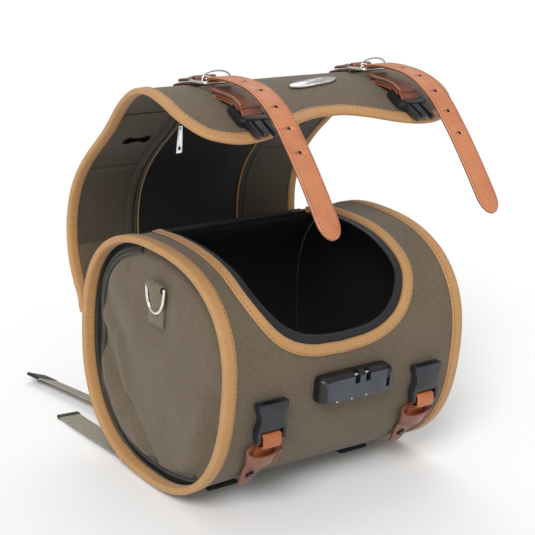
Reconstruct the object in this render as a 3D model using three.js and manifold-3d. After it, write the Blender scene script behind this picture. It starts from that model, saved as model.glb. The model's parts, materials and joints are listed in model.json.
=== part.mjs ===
// A roll-shaped canvas carrier bag: hinged lid, leather straps, side-release buckles and a combination lock.
// Millimetres, +Z up, +X along the roll, -Y towards the lock side. The origin is the middle of the underside mat.
import * as THREE from "three";
import { mergeVertices } from "three/addons/utils/BufferGeometryUtils.js";
import Module from "manifold-3d";

// ---- driving dimensions ----
const HALF_LENGTH = 150; // outer faces of the end bindings
const HALF_DEPTH = 125.5; // half of the roll front to back
const HALF_HEIGHT = 122.3;
const ROUNDNESS = 2.42; // 2 is an ellipse, more is squarer
const EGG = 0.045; // the top is this much wider than the middle
const CENTRE_Z = 126; // middle of the roll above the underside mat
const CLOTH = 3; // padded canvas wall
const GAP = 0.4;
const BINDING = 12; // width of the tan tape round the ends
const EDGE_TAPE = 11; // width of the tape round the lid and the opening
const LID_T = 6; // middle of the lid above the roll's skin when shut
const LID_HALF = 2; // half of the lid's thickness
const LID_TAPE_HALF = 3;
const LID_REST_OPEN = 45; // degrees that the lid stands open
const FRONT_UNROLL = 20; // degrees that the lid's front leaf is opened out at rest
const BUCKLE_X = 98; // straps and front buckles, left and right
const STRAP_X = 97;
const LEATHER = 2.6;
const STRAP_HALF = 12.5;
const WIRE = 1.7;

const root = new THREE.Group();
const wasm = await Module();
wasm.setup();

// ---- materials ----
const finish = (color, roughness, metalness = 0) =>
  new THREE.MeshStandardMaterial({ color, roughness, metalness });
const FINISH = {
  canvas: () => finish("#786b5a", 0.9),
  lining: () => finish("#141414", 0.8),
  board: () => finish("#3a3733", 0.7),
  tape: () => finish("#cf9f63", 0.75),
  leather: () => finish("#cf8b66", 0.55),
  redLeather: () => finish("#a96b4c", 0.55),
  webbing: () => finish("#8e8777", 0.85),
  black: () => finish("#1c1c1e", 0.6),
  plastic: () => finish("#3a3d41", 0.4),
  zip: () => finish("#3a3b2c", 0.6),
  chrome: () => finish("#c9ccd0", 0.2, 1),
  rivet: () => finish("#55534f", 0.35, 1),
  rubber: () => finish("#202020", 0.9),
};

// ---- geometry helpers ----
const lerp = THREE.MathUtils.lerp;
const radians = THREE.MathUtils.degToRad;
const vec = (x, y, z) => new THREE.Vector3(x, y, z);

// An indexed geometry of the points and triangles, turned so that its faces point out.
function closed(points, triangles) {
  let volume = 0;
  for (const [a, b, c] of triangles) {
    const normal = vec().crossVectors(points[b], points[c]);
    volume += points[a].dot(normal);
  }
  const index = triangles.flatMap(([a, b, c]) => (volume < 0 ? [a, c, b] : [a, b, c]));
  const geometry = new THREE.BufferGeometry().setFromPoints(points);
  geometry.setIndex(index);
  return geometry;
}

// A sheet with thickness: point(u, v, face) is its skin, face 0 below and face 1 above.
// A ring joins u = 1 to u = 0.
function slab(columns, rows, point, ring = false) {
  const wide = ring ? columns : columns + 1;
  const points = [];
  for (const face of [0, 1])
    for (let i = 0; i < wide; i++)
      for (let j = 0; j <= rows; j++) points.push(point(i / columns, j / rows, face));
  const at = (face, i, j) => (face * wide + (i % wide)) * (rows + 1) + j;
  const triangles = [];
  const quad = (a, b, c, d) => triangles.push([a, b, c], [a, c, d]);
  for (let i = 0; i < columns; i++) {
    for (let j = 0; j < rows; j++) {
      quad(at(1, i, j), at(1, i + 1, j), at(1, i + 1, j + 1), at(1, i, j + 1));
      quad(at(0, i, j), at(0, i, j + 1), at(0, i + 1, j + 1), at(0, i + 1, j));
    }
    quad(at(0, i, 0), at(0, i + 1, 0), at(1, i + 1, 0), at(1, i, 0));
    quad(at(0, i, rows), at(1, i, rows), at(1, i + 1, rows), at(0, i + 1, rows));
  }
  if (!ring)
    for (let j = 0; j < rows; j++) {
      quad(at(0, 0, j), at(1, 0, j), at(1, 0, j + 1), at(0, 0, j + 1));
      quad(at(0, columns, j), at(0, columns, j + 1), at(1, columns, j + 1), at(1, columns, j));
    }
  return closed(points, triangles);
}

// A round wire along points that lie in one plane, whose normal is given.
function wire(route, radius, normal, ring = false, sides = 8) {
  const points = [];
  const triangles = [];
  const n = route.length;
  route.forEach((p, i) => {
    const before = route[ring ? (i + n - 1) % n : Math.max(i - 1, 0)];
    const after = route[ring ? (i + 1) % n : Math.min(i + 1, n - 1)];
    const across = vec().subVectors(after, before).cross(normal).normalize();
    for (let k = 0; k < sides; k++) {
      const a = (2 * Math.PI * k) / sides;
      const point = p.clone().addScaledVector(across, radius * Math.cos(a));
      points.push(point.addScaledVector(normal, radius * Math.sin(a)));
    }
  });
  const at = (i, k) => (i % n) * sides + (k % sides);
  for (let i = 0; i < (ring ? n : n - 1); i++)
    for (let k = 0; k < sides; k++)
      triangles.push(
        [at(i, k), at(i + 1, k), at(i + 1, k + 1)],
        [at(i, k), at(i + 1, k + 1), at(i, k + 1)],
      );
  if (!ring)
    for (let k = 1; k < sides - 1; k++)
      triangles.push(
        [at(0, 0), at(0, k), at(0, k + 1)],
        [at(n - 1, 0), at(n - 1, k + 1), at(n - 1, k)],
      );
  return closed(points, triangles);
}

// A flat outline of [a, b] points, with holes, given a depth along its own third axis.
function plate(outline, depth, holes = []) {
  const shape = new THREE.Shape(outline.map(([a, b]) => new THREE.Vector2(a, b)));
  for (const hole of holes) shape.holes.push(new THREE.Path(hole.map(([a, b]) => new THREE.Vector2(a, b))));
  return new THREE.ExtrudeGeometry(shape, { depth, bevelEnabled: false });
}
const rectangle = (x0, y0, x1, y1) => [
  [x0, y0],
  [x1, y0],
  [x1, y1],
  [x0, y1],
];
const circle = (cx, cy, r, sides = 16) =>
  Array.from({ length: sides }, (_, k) => {
    const a = (2 * Math.PI * k) / sides;
    return [cx + r * Math.cos(a), cy + r * Math.sin(a)];
  });

function box(x0, x1, y0, y1, z0, z1) {
  const block = new THREE.BoxGeometry(x1 - x0, y1 - y0, z1 - z0);
  return block.translate((x0 + x1) / 2, (y0 + y1) / 2, (z0 + z1) / 2);
}

// Turns that stand a plate up: its depth runs along X, or towards the front.
const FACING_SIDE = new THREE.Matrix4().makeBasis(vec(0, 1, 0), vec(0, 0, 1), vec(1, 0, 0));
const FACING_FRONT = new THREE.Matrix4().makeBasis(vec(1, 0, 0), vec(0, 0, 1), vec(0, -1, 0));

// A plate drawn in Y and Z, centred on x and this wide along X.
const acrossX = (outline, width, x, holes = []) =>
  plate(outline, width, holes)
    .applyMatrix4(FACING_SIDE)
    .translate(x - width / 2, 0, 0);

function solidOf(geometry) {
  const bare = geometry.clone();
  for (const name of ["normal", "uv"]) bare.deleteAttribute(name);
  const merged = mergeVertices(bare, 1e-4);
  const mesh = new wasm.Mesh({
    numProp: 3,
    vertProperties: new Float32Array(merged.attributes.position.array),
    triVerts: new Uint32Array(merged.index.array),
  });
  return new wasm.Manifold(mesh);
}
function geometryOf(solid) {
  const mesh = solid.getMesh();
  const geometry = new THREE.BufferGeometry();
  geometry.setAttribute("position", new THREE.BufferAttribute(mesh.vertProperties, 3));
  geometry.setIndex(new THREE.BufferAttribute(mesh.triVerts, 1));
  return geometry;
}
const cut = (whole, ...tools) =>
  geometryOf(tools.reduce((left, tool) => left.subtract(solidOf(tool)), solidOf(whole)));
const join = (first, ...others) =>
  geometryOf(others.reduce((sum, other) => sum.add(solidOf(other)), solidOf(first)));

function piece(name, geometry, material, parent = root) {
  const mesh = new THREE.Mesh(geometry, material());
  mesh.name = name;
  parent.add(mesh);
  return mesh;
}

// ---- the roll's section ----
// Arc length s runs from the top towards the front, t is the distance out from the skin.
function sectionPoint(angle) {
  const power = 2 / ROUNDNESS;
  const sin = Math.sin(angle);
  const cos = Math.cos(angle);
  const z = Math.sign(cos) * Math.abs(cos) ** power;
  const y = -Math.sign(sin) * Math.abs(sin) ** power * (1 + EGG * z);
  return vec(0, HALF_DEPTH * y, CENTRE_Z + HALF_HEIGHT * z);
}
const section = new THREE.CatmullRomCurve3(
  Array.from({ length: 96 }, (_, i) => sectionPoint((2 * Math.PI * i) / 96)),
  true,
);
section.arcLengthDivisions = 1200;
const GIRTH = section.getLength();

function skin(x, s, t) {
  const u = (((s / GIRTH) % 1) + 1) % 1;
  const p = section.getPointAt(u);
  const along = section.getTangentAt(u);
  return vec(x, p.y + along.z * t, p.z - along.y * t);
}
const sectionOutline = (t, sides) =>
  Array.from({ length: sides }, (_, i) => {
    const p = skin(0, (GIRTH * i) / sides, t);
    return [p.y, p.z];
  });

// ---- the opening in the roll ----
// Right half of its edge, as [x from its middle, arc length], from the back to the front.
const OPENING_X = -9.5; // its middle lies this far off the roll's middle
const openingHalf = new THREE.SplineCurve(
  [
    [0.5, -72],
    [50, -70],
    [84, -64],
    [97, -46],
    [100, -10],
    [100, 60],
    [96, 102],
    [78, 135],
    [60, 149],
    [37, 157],
    [0.5, 160],
  ].map(([x, s]) => new THREE.Vector2(x, s)),
);
// A point of the edge moved out of the opening by d; k from 0 at the back to 1 at the front.
function openingEdge(k, d) {
  const p = openingHalf.getPointAt(k);
  const along = openingHalf.getTangentAt(k);
  return [Math.max(p.x + along.y * d, 0.5), p.y - along.x * d];
}
const OPENING_SIDE = 0.3; // where along the edge the tape and the zip start
// Both halves in one run: u from 0 at the back left, over the front, to 1 at the back right.
function openingRun(u, d) {
  const half = Math.abs(2 * u - 1);
  const [x, s] = openingEdge(lerp(1, OPENING_SIDE, half), d);
  return [OPENING_X + (u < 0.5 ? -x : x), s];
}
// Everything inside the edge moved out by d, between two heights over the skin, for part of its length.
const openingFill = (d, t0, t1, k0 = 0, k1 = 1, rows = 48) =>
  slab(rows, 1, (u, v, face) => {
    const [x, s] = openingEdge(lerp(k0, k1, u), d);
    return skin(OPENING_X + (v ? x : -x), s, face ? t1 : t0);
  });
const openingBand = (d0, d1, t0, t1) =>
  slab(56, 1, (u, v, face) => {
    const [x, s] = openingRun(u, v ? d1 : d0);
    return skin(x, s, face ? t1 : t0);
  });

// ---- roll, lining, ends ----
function makeRoll() {
  const inner = HALF_LENGTH - BINDING - GAP;
  const tube = (t0, t1) =>
    slab(64, 1, (u, v, face) => skin(v ? inner : -inner, u * GIRTH, face ? t1 : t0), true);
  const liner = -CLOTH - GAP;
  piece("body_shell", cut(tube(-CLOTH, 0), openingFill(EDGE_TAPE + 1, -25, 25)), FINISH.canvas);
  piece("body_lining", cut(tube(liner - 1, liner), openingFill(EDGE_TAPE + 1, -25, 25)), FINISH.lining);
  piece("opening_binding", openingBand(0, EDGE_TAPE, -CLOTH, 2.2), FINISH.tape);
  piece("opening_zip", openingBand(-8, -GAP, -2.6, -0.4), FINISH.black);
  const floor = CENTRE_Z - HALF_HEIGHT;
  piece("base_stiffener", box(-120, 120, -45, 45, floor + 10, floor + 13), FINISH.board);
  piece("base_mat", box(-62, 62, -34, 34, 0, floor - GAP), FINISH.rubber);
}

function makeEnd(side) {
  const word = side < 0 ? "left" : "right";
  const band = (x0, x1, s0, s1, t0, t1, columns, ring) =>
    slab(columns, 1, (u, v, face) => skin(side * (v ? x1 : x0), lerp(s0, s1, u), face ? t1 : t0), ring);
  const disc = (t, x0, x1) => acrossX(sectionOutline(t, 48), x1 - x0, (side * (x0 + x1)) / 2);
  const rim = HALF_LENGTH - BINDING;
  piece(`end_binding_${word}`, band(rim, HALF_LENGTH, 0, GIRTH, -4.6, 1.8, 56, true), FINISH.tape);
  piece(`end_panel_${word}`, disc(-5.4, rim - 7, rim - 4), FINISH.canvas);
  piece(`end_pocket_${word}`, disc(-12, rim - 3.7, rim + 3), FINISH.canvas);
  piece(`end_zip_${word}`, band(rim - 3.7, rim + 1, -60, -GIRTH / 2 - 110, -11.4, -6, 36, false), FINISH.zip);
  makeRing(side, word, rim + 3 + GAP);
}

// A D-ring that hangs from a looped webbing tab on an end pocket.
const RING_Y = -1;
const RING_Z = CENTRE_Z + 82;
function makeRing(side, word, face) {
  const barX = side * (face + 4.7);
  const lower = RING_Z - 42;
  const strip = box(-1.4, 1.4, RING_Y - 12.5, RING_Y + 12.5, lower, RING_Z - 3).translate(
    side * (face + 1.4),
    0,
    0,
  );
  const loop = plate(circle(barX, RING_Z, 4.3), 25, [circle(barX, RING_Z, 2.2)])
    .applyMatrix4(FACING_FRONT)
    .translate(0, RING_Y + 12.5, 0);
  piece(`d_ring_tab_${word}`, join(strip, loop), FINISH.webbing);
  const halfBar = 15.4;
  const route = [vec(barX, RING_Y, RING_Z)];
  for (let k = 0; k <= 14; k++) {
    const a = (Math.PI * k) / 14;
    route.push(vec(barX, RING_Y + halfBar * Math.cos(a), RING_Z - 27 * Math.sin(a) ** 0.8));
  }
  piece(`d_ring_${word}`, wire(route, 1.6, vec(1, 0, 0), true), FINISH.chrome);
}

// ---- straps below, for a rack ----
function makeRackStraps(side) {
  const word = side < 0 ? "left" : "right";
  const top = CENTRE_Z - HALF_HEIGHT - GAP;
  const strap = box(-18, 18, -50, 50, 0, top).translate(side * 86, 0, 0);
  piece(`rack_strap_${word}`, strap, FINISH.black);
  const tail = (name, x0, x1, bend, y0, y1, half) =>
    piece(
      name,
      slab(12, 1, (u, v, face) => {
        const y = lerp(y0, y1, u);
        const x = lerp(x0, x1, u) + bend * Math.sin(Math.PI * u);
        return vec(side * x + (v ? half : -half), y, 0.2 + (face ? 2 : 0) + 3 * Math.sin(Math.PI * u) ** 2);
      }),
      FINISH.webbing,
    );
  tail(`rack_tail_long_${word}`, 86, 118, -5, 51, 274, 12.5);
  tail(`rack_tail_short_${word}`, 128, 137, 3, 20, 171, 12.5);
}

// ---- combination lock ----
const LOCK = { x0: -46.5, x1: 47.5, z0: CENTRE_Z - 13, z1: CENTRE_Z + 18, back: -127.4, front: -141 };
const DIAL_Y = -133.6;
const DIAL_Z = LOCK.z0 + 4;
const SLIDER_X = 38.5;
function makeLock() {
  const { x0, x1, z0, z1, back, front } = LOCK;
  const top = z1 - 5;
  const outline = [
    [back, z0],
    [back, z1],
    [front + 4, z1],
    [front, top],
    [front, z0],
  ];
  const slots = [-1.5, 12].map((x) => box(x - 3, x + 3, front - 1, front + 8, top - 8, z1 + 1));
  const wells = [-26, -7.5, 11].map((x) => box(x - 3, x + 3, DIAL_Y - 6, DIAL_Y + 5.9, z0 - 1, DIAL_Z + 6));
  const groove = box(SLIDER_X - 2.2, SLIDER_X + 2.2, front - 1, front + 4, z0 + 7, z0 + 27);
  const body = acrossX(outline, x1 - x0, (x0 + x1) / 2);
  piece("lock_housing", cut(body, ...slots, ...wells, groove), FINISH.plastic);
  piece("lock_base_plate", box(x0 + 4, x1 - 4, back + GAP, -125.9, z0 + 3, z1 - 3), FINISH.rivet);
  const dial = plate(circle(0, 0, 5.4, 20), 5, [circle(0, 0, 1.4, 10)]);
  const turned = dial.applyMatrix4(FACING_SIDE);
  [-26, -7.5, 11].forEach((x, i) =>
    piece(`lock_dial_${i + 1}`, turned.clone(), FINISH.black).position.set(x - 2.5, DIAL_Y, DIAL_Z),
  );
  const knob = box(SLIDER_X - 1.8, SLIDER_X + 1.8, front + 0.3, front + 3.6, z0 + 16, z0 + 26);
  piece("lock_slider", knob, FINISH.black);
}

// ---- front buckles on leather loops ----
const BAR = { y: -132, z: CENTRE_Z - 33 };
const LOOP_RIVET_S = 290;
function makeFrontBuckle(side) {
  const word = side < 0 ? "left" : "right";
  const x = side * BUCKLE_X;
  const top = CENTRE_Z + 3;
  const half = [
    [17.5, top],
    [17.5, top - 6],
    [14.4, top - 12],
    [14.4, top - 20],
    [17.5, top - 27],
    [16.5, BAR.z - 2.6],
  ];
  const outline = [...half, ...half.map(([a, b]) => [-a, b]).reverse()];
  const slot = rectangle(-13.2, BAR.z + 2.5, 13.2, BAR.z + 8);
  const block = plate(outline, 9.4, [slot])
    .applyMatrix4(FACING_FRONT)
    .translate(x, -126.9, 0);
  const mouth = box(x - 12.5, x + 12.5, -134.2, -128.8, BAR.z + 12, top + 1);
  const ahead = box(x - 13.2, x + 13.2, -140, BAR.y - 2.5, BAR.z - 4, BAR.z + 7.9);
  const behind = box(x - 13.2, x + 13.2, BAR.y + 2.5, -120, BAR.z - 4, BAR.z + 7.9);
  piece(`female_buckle_${word}`, cut(block, mouth, ahead, behind), FINISH.plastic);

  const route = new THREE.CatmullRomCurve3([
    vec(0, BAR.y, BAR.z - 5),
    vec(0, -129.5, BAR.z - 14),
    skin(0, 265, 6),
    skin(0, 277, 3.4),
    skin(0, LOOP_RIVET_S, 2.6),
    skin(0, 308, 2.6),
  ]);
  const strap = slab(16, 1, (u, v, face) => {
    const p = route.getPointAt(u);
    const along = route.getTangentAt(u);
    const t = face ? 2 : -2;
    const wide = u < 0.85 ? lerp(16.5, 12, u / 0.85) : 12 * Math.sqrt(1.02 - ((u - 0.85) / 0.15) ** 2);
    return vec(x + (v ? wide : -wide), p.y + along.z * t, p.z - along.y * t);
  });
  const eye = acrossX(circle(BAR.y, BAR.z, 6.4), 24, x, [circle(BAR.y, BAR.z, 3.9)]);
  piece(`front_loop_${word}`, join(strap, eye), FINISH.redLeather);

  const seat = skin(x, LOOP_RIVET_S, 5);
  const out = vec().subVectors(skin(x, LOOP_RIVET_S, 6), skin(x, LOOP_RIVET_S, 5));
  piece(`front_rivet_${word}`, rivetHead(5.2, 2), FINISH.rivet)
    .applyQuaternion(new THREE.Quaternion().setFromUnitVectors(vec(0, 1, 0), out))
    .position.copy(seat);
}
const rivetHead = (radius, height) =>
  new THREE.LatheGeometry(
    [
      [0, 0],
      [radius, 0],
      [radius, height * 0.4],
      [radius * 0.6, height * 0.9],
      [0, height],
    ].map(([r, h]) => new THREE.Vector2(r, h)),
    14,
  );

// ---- lid ----
// Drawn shut round the roll. The hinge line is at the back, the fold between its leaves just past the top.
const HINGE_S = -179.5;
const FOLD_S = 20.5;
const FOLD_GAP = 1;
const hinge = skin(0, HINGE_S, LID_T);
const fold = skin(0, FOLD_S, LID_T);

const lidBack = new THREE.Group();
const lidBackPlace = new THREE.Group();
lidBack.position.copy(hinge);
lidBack.rotation.x = -radians(LID_REST_OPEN);
lidBackPlace.position.copy(hinge).negate();
lidBack.add(lidBackPlace);
root.add(lidBack);

const lidFront = new THREE.Group();
const lidFrontPlace = new THREE.Group();
lidFront.position.copy(fold);
lidFront.rotation.x = -radians(FRONT_UNROLL);
lidFrontPlace.position.copy(fold).negate();
lidFront.add(lidFrontPlace);
lidBackPlace.add(lidFront);

// Right half of the front leaf's edge, as [x, arc length], from the fold to the middle of the scallop.
const lidHalf = new THREE.SplineCurve(
  [
    [150, FOLD_S + FOLD_GAP],
    [150, 60],
    [158, 105],
    [167, 150],
    [166, 185],
    [152, 212],
    [128, 224],
    [103, 226],
    [76, 221],
    [44, 210],
    [20, 204],
    [0, 203],
  ].map(([x, s]) => new THREE.Vector2(x, s)),
);
function lidEdge(u, d) {
  const k = 1 - Math.abs(2 * u - 1);
  const p = lidHalf.getPointAt(k);
  const along = lidHalf.getTangentAt(k);
  const x = k > 0.999 ? 0 : p.x - along.y * d;
  return [u < 0.5 ? -x : x, k > 0.999 ? p.y - d : p.y + along.x * d];
}
// The leaf inside its edge tape: strips from the fold out to the edge.
function leaf(inset, t0, t1, columns, rows, firstS) {
  return slab(columns, rows, (u, v, face) => {
    const [x, s] = lidEdge(u, inset);
    const start = HALF_LENGTH - inset;
    return skin(lerp(lerp(-start, start, u), x, v), lerp(firstS, Math.max(s, firstS + 2), v), face ? t1 : t0);
  });
}

function makeLid() {
  const under = LID_T - LID_HALF;
  const over = LID_T + LID_HALF;
  const tape = [LID_T - LID_TAPE_HALF, LID_T + LID_TAPE_HALF];
  const strip = (x0, x1, s0, s1, t0, t1, columns) =>
    slab(columns, 1, (u, v, face) => skin(v ? x1 : x0, lerp(s0, s1, u), face ? t1 : t0));
  const start = HINGE_S + 1;
  const end = FOLD_S - FOLD_GAP;
  const inside = HALF_LENGTH - EDGE_TAPE;
  const parts = lidBackPlace;
  const panel = strip(-inside + GAP, inside - GAP, start, end, under, over, 18);
  piece("lid_back_panel", panel, FINISH.canvas, parts);
  piece("lid_back_edge_left", strip(-HALF_LENGTH, -inside, start, end, ...tape, 18), FINISH.tape, parts);
  piece("lid_back_edge_right", strip(inside, HALF_LENGTH, start, end, ...tape, 18), FINISH.tape, parts);
  const lining = strip(OPENING_X - 88, OPENING_X + 88, -100, end, 1, under - 1, 14);
  piece("lid_back_lining", lining, FINISH.lining, parts);

  const front = lidFrontPlace;
  const first = FOLD_S + FOLD_GAP;
  piece("lid_front_panel", leaf(EDGE_TAPE + 2 * GAP, under, over, 36, 9, first), FINISH.canvas, front);
  const edge = slab(64, 1, (u, v, face) => {
    const [x, s] = lidEdge(u, v ? EDGE_TAPE : 0);
    return skin(x, Math.max(s, first), tape[face]);
  });
  piece("lid_front_edge", edge, FINISH.tape, front);
  piece("lid_front_lining", openingFill(-12, 1, under - 1, 0.47, 0.985, 26), FINISH.lining, front);
  piece("badge", badge(over + GAP), FINISH.chrome, front);
  piece("hinge_strip", strip(-140, 140, HINGE_S - 16, HINGE_S - 3.8, 2.4, over, 3), FINISH.canvas);
}

// A plain bar plaque on the lid's front.
const BADGE = { x: 8, s: 154, half: 33, rise: 4.5, end: 1.5, thick: 2 };
function badge(t) {
  return slab(8, 6, (u, v, face) => {
    const x = BADGE.x + lerp(-BADGE.half, BADGE.half, u);
    const half = BADGE.rise * (1 - Math.abs(2 * u - 1) ** 4) + BADGE.end;
    return skin(x, BADGE.s + lerp(-half, half, v), t + BADGE.thick * face);
  });
}

// ---- straps on the lid ----
const TAB_END = 92;
const REAR = { s: 131, t: 13.2 }; // bar of the wire frame that the tab is sewn round
const FRONT = { s: 152, t: 17 }; // bar that the strap turns round
const PLUG = { y: -140, z: CENTRE_Z + 5 };
function makeStrap(side) {
  const word = side < 0 ? "left" : "right";
  const x = side * STRAP_X;
  const parts = lidFrontPlace;
  const rear = skin(x, REAR.s, REAR.t);
  const front = skin(x, FRONT.s, FRONT.t);
  const top = LID_T + LID_HALF + GAP;
  const run = (s0, s1, t, wide, columns) =>
    slab(columns, 1, (u, v, face) => {
      const end = Math.min(1, u * columns * 0.5 + 0.45);
      return skin(x + (v ? wide : -wide) * end, lerp(s0, s1, u), t + (face ? LEATHER : 0));
    });
  const eye = acrossX(circle(rear.y, rear.z, 4.6), 24, x, [circle(rear.y, rear.z, 2.3)]);
  const notch = box(x - 3, x + 3, rear.y - 9, rear.y + 4, rear.z - 9, rear.z + 9);
  const tab = cut(join(run(TAB_END, REAR.s - 1, top, 12, 8), eye), notch);
  piece(`strap_tab_${word}`, tab, FINISH.leather, parts);

  const along = vec().subVectors(front, rear);
  const normal = vec().crossVectors(along, vec(1, 0, 0)).normalize();
  const corner = (dx, k) => rear.clone().addScaledVector(along, k).add(vec(dx, 0, 0));
  const rim = [];
  const reach = [
    [17, 0],
    [17, 0.3],
    [17, 0.85],
    [15.4, 1],
    [0, 1],
  ];
  for (const [dx, k] of reach) rim.push(corner(dx, k));
  for (const [dx, k] of [...reach].reverse().slice(1)) rim.push(corner(-dx, k));
  rim.push(corner(0, 0));
  piece(`buckle_frame_${word}`, wire(rim, WIRE, normal, true), FINISH.chrome, parts);

  const tongue = wire([corner(0, 0.14), corner(0, 0.75)], 1.3, vec(1, 0, 0));
  const hook = acrossX(circle(rear.y, rear.z, 3.7), 4, x, [circle(rear.y, rear.z, 2.1)]);
  piece(`buckle_prong_${word}`, join(tongue, hook), FINISH.chrome, parts);

  const loop = acrossX(circle(PLUG.y, PLUG.z, 6.2), 24, x, [circle(PLUG.y, PLUG.z, 3.6)]);
  const layer = slab(10, 1, (u, v, face) => {
    const t = lerp(10.6, 19.4, THREE.MathUtils.smoothstep(u, 0.1, 0.75));
    return skin(x + (v ? 12 : -12), lerp(FRONT.s - 1, 202, u), t + (face ? LEATHER : 0));
  });
  piece(`strap_lower_${word}`, join(layer, loop), FINISH.redLeather, parts);
  makePlug(word, x, parts);
  makeFreeStrap(word, x, front);
}

function makePlug(word, x, parts) {
  const { y, z } = PLUG;
  const half = [
    [17.2, z + 10.4],
    [17.2, z - 10],
    [12, z - 12],
    [12, z - 24],
    [11, z - 33.5],
    [7.8, z - 33.5],
    [7.5, z - 13],
    [4, z - 13],
    [3.2, z - 31],
  ];
  const outline = [...half, ...half.map(([a, b]) => [-a, b]).reverse()];
  const holes = [rectangle(-13, z + 2.3, 13, z + 7), rectangle(-13, z - 7, 13, z - 2.3)];
  const block = plate(outline, 6.6, holes)
    .applyMatrix4(FACING_FRONT)
    .translate(x, y + 3.3, 0);
  const ahead = box(x - 13, x + 13, y - 4, y - 2.3, z - 6.9, z + 6.9);
  const behind = box(x - 13, x + 13, y + 2.3, y + 4, z - 6.9, z + 6.9);
  const thinned = [-4, 2.3].map((near) => box(x - 19, x + 19, y + near, y + near + 1.7, z - 40, z - 12.4));
  piece(`male_plug_${word}`, cut(block, ahead, behind, ...thinned), FINISH.plastic, parts);
}

// The strap's free end: over the frame's front bar, then forward and down in an arch.
function makeFreeStrap(word, x, bar) {
  lidFrontPlace.updateWorldMatrix(true, false);
  const pivot = lidFrontPlace.localToWorld(bar.clone());
  const route = new THREE.CatmullRomCurve3(
    [
      [3.6, -0.6],
      [2.6, 2.9],
      [-1.5, 4.4],
      [-30, 7.5],
      [-62, 5],
      [-92, -9],
      [-116, -30],
      [-142, -57],
      [-180, -101],
    ].map(([dy, dz]) => vec(0, pivot.y + dy, pivot.z + dz)),
  );
  const strap = slab(30, 1, (u, v, face) => {
    const k = u ** 1.6;
    const p = route.getPointAt(k);
    const along = route.getTangentAt(k);
    const t = face ? LEATHER / 2 : -LEATHER / 2;
    const wide = u < 0.93 ? STRAP_HALF : STRAP_HALF * Math.sqrt(1.03 - ((u - 0.93) / 0.07) ** 2);
    return vec(x + (v ? wide : -wide), p.y + along.z * t, p.z - along.y * t);
  });
  piece(`strap_free_${word}`, strap, FINISH.leather);
}

// ---- zip pulls under the lid ----
const PULL = { x: 73, s: 38 }; // where they hang, when the lid is shut
function makeZipPull(side) {
  const word = side < 0 ? "left" : "right";
  const seat = skin(side * PULL.x, PULL.s, -GAP);
  lidFrontPlace.updateWorldMatrix(true, false);
  const { x, y, z } = lidFrontPlace.localToWorld(seat);
  const tag = plate(
    [
      [-2.4, 2.2],
      [-3.6, -26],
      [3.6, -26],
      [2.4, 2.2],
    ],
    1.6,
    [circle(0, -21, 1.8, 8), circle(0, 0, 1, 8)],
  )
    .applyMatrix4(FACING_FRONT)
    .translate(x, y - 4, z - 4);
  piece(`zip_pull_${word}`, tag, FINISH.chrome);
}

makeRoll();
makeLock();
makeLid();
for (const side of [-1, 1]) {
  makeEnd(side);
  makeRackStraps(side);
  makeFrontBuckle(side);
  makeStrap(side);
  makeZipPull(side);
}

export default root;
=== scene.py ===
"""Looks for the roll top carrier bag: cloth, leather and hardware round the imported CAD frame.

Metres, +Z up, +X along the roll, -Y towards the lock. Soft pieces are drawn in "roll coordinates": x along
the roll, s the arc length round its section from the top towards the front, and t the distance out from its
skin. The lid is drawn shut in the same coordinates and turned open about its hinge and its fold.
"""

import json
import math

import bmesh
import bpy
import numpy as np
from mathutils import Matrix, Vector, noise

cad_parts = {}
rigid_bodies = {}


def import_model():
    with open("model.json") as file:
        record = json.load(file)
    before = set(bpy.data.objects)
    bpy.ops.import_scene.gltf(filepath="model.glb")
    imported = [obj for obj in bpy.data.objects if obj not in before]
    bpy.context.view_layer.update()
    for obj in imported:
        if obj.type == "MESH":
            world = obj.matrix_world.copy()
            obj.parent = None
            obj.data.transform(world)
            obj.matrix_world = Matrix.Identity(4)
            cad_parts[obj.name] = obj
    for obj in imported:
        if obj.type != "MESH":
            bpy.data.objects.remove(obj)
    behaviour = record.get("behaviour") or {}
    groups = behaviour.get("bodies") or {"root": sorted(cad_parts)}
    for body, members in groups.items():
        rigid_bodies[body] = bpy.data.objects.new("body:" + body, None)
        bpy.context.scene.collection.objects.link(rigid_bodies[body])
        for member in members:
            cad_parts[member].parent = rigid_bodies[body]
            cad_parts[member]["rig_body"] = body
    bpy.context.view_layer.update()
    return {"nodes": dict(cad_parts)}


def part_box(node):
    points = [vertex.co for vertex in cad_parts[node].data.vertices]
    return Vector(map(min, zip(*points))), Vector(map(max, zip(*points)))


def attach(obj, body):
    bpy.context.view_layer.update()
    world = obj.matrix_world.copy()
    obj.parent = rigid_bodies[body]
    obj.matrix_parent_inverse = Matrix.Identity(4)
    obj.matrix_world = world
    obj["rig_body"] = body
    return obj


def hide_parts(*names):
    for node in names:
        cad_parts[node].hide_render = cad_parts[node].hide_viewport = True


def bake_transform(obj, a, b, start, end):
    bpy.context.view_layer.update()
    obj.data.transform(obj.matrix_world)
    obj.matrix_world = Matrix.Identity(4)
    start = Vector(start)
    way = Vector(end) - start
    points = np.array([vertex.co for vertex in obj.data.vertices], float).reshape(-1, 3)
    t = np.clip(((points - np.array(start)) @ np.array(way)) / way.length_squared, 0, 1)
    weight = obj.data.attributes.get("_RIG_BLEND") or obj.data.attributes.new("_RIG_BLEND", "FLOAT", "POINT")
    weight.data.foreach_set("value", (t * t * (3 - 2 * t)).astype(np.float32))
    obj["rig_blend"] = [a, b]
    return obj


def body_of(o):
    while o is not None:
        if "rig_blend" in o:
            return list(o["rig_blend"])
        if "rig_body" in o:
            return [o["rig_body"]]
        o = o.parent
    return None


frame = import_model()

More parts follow.
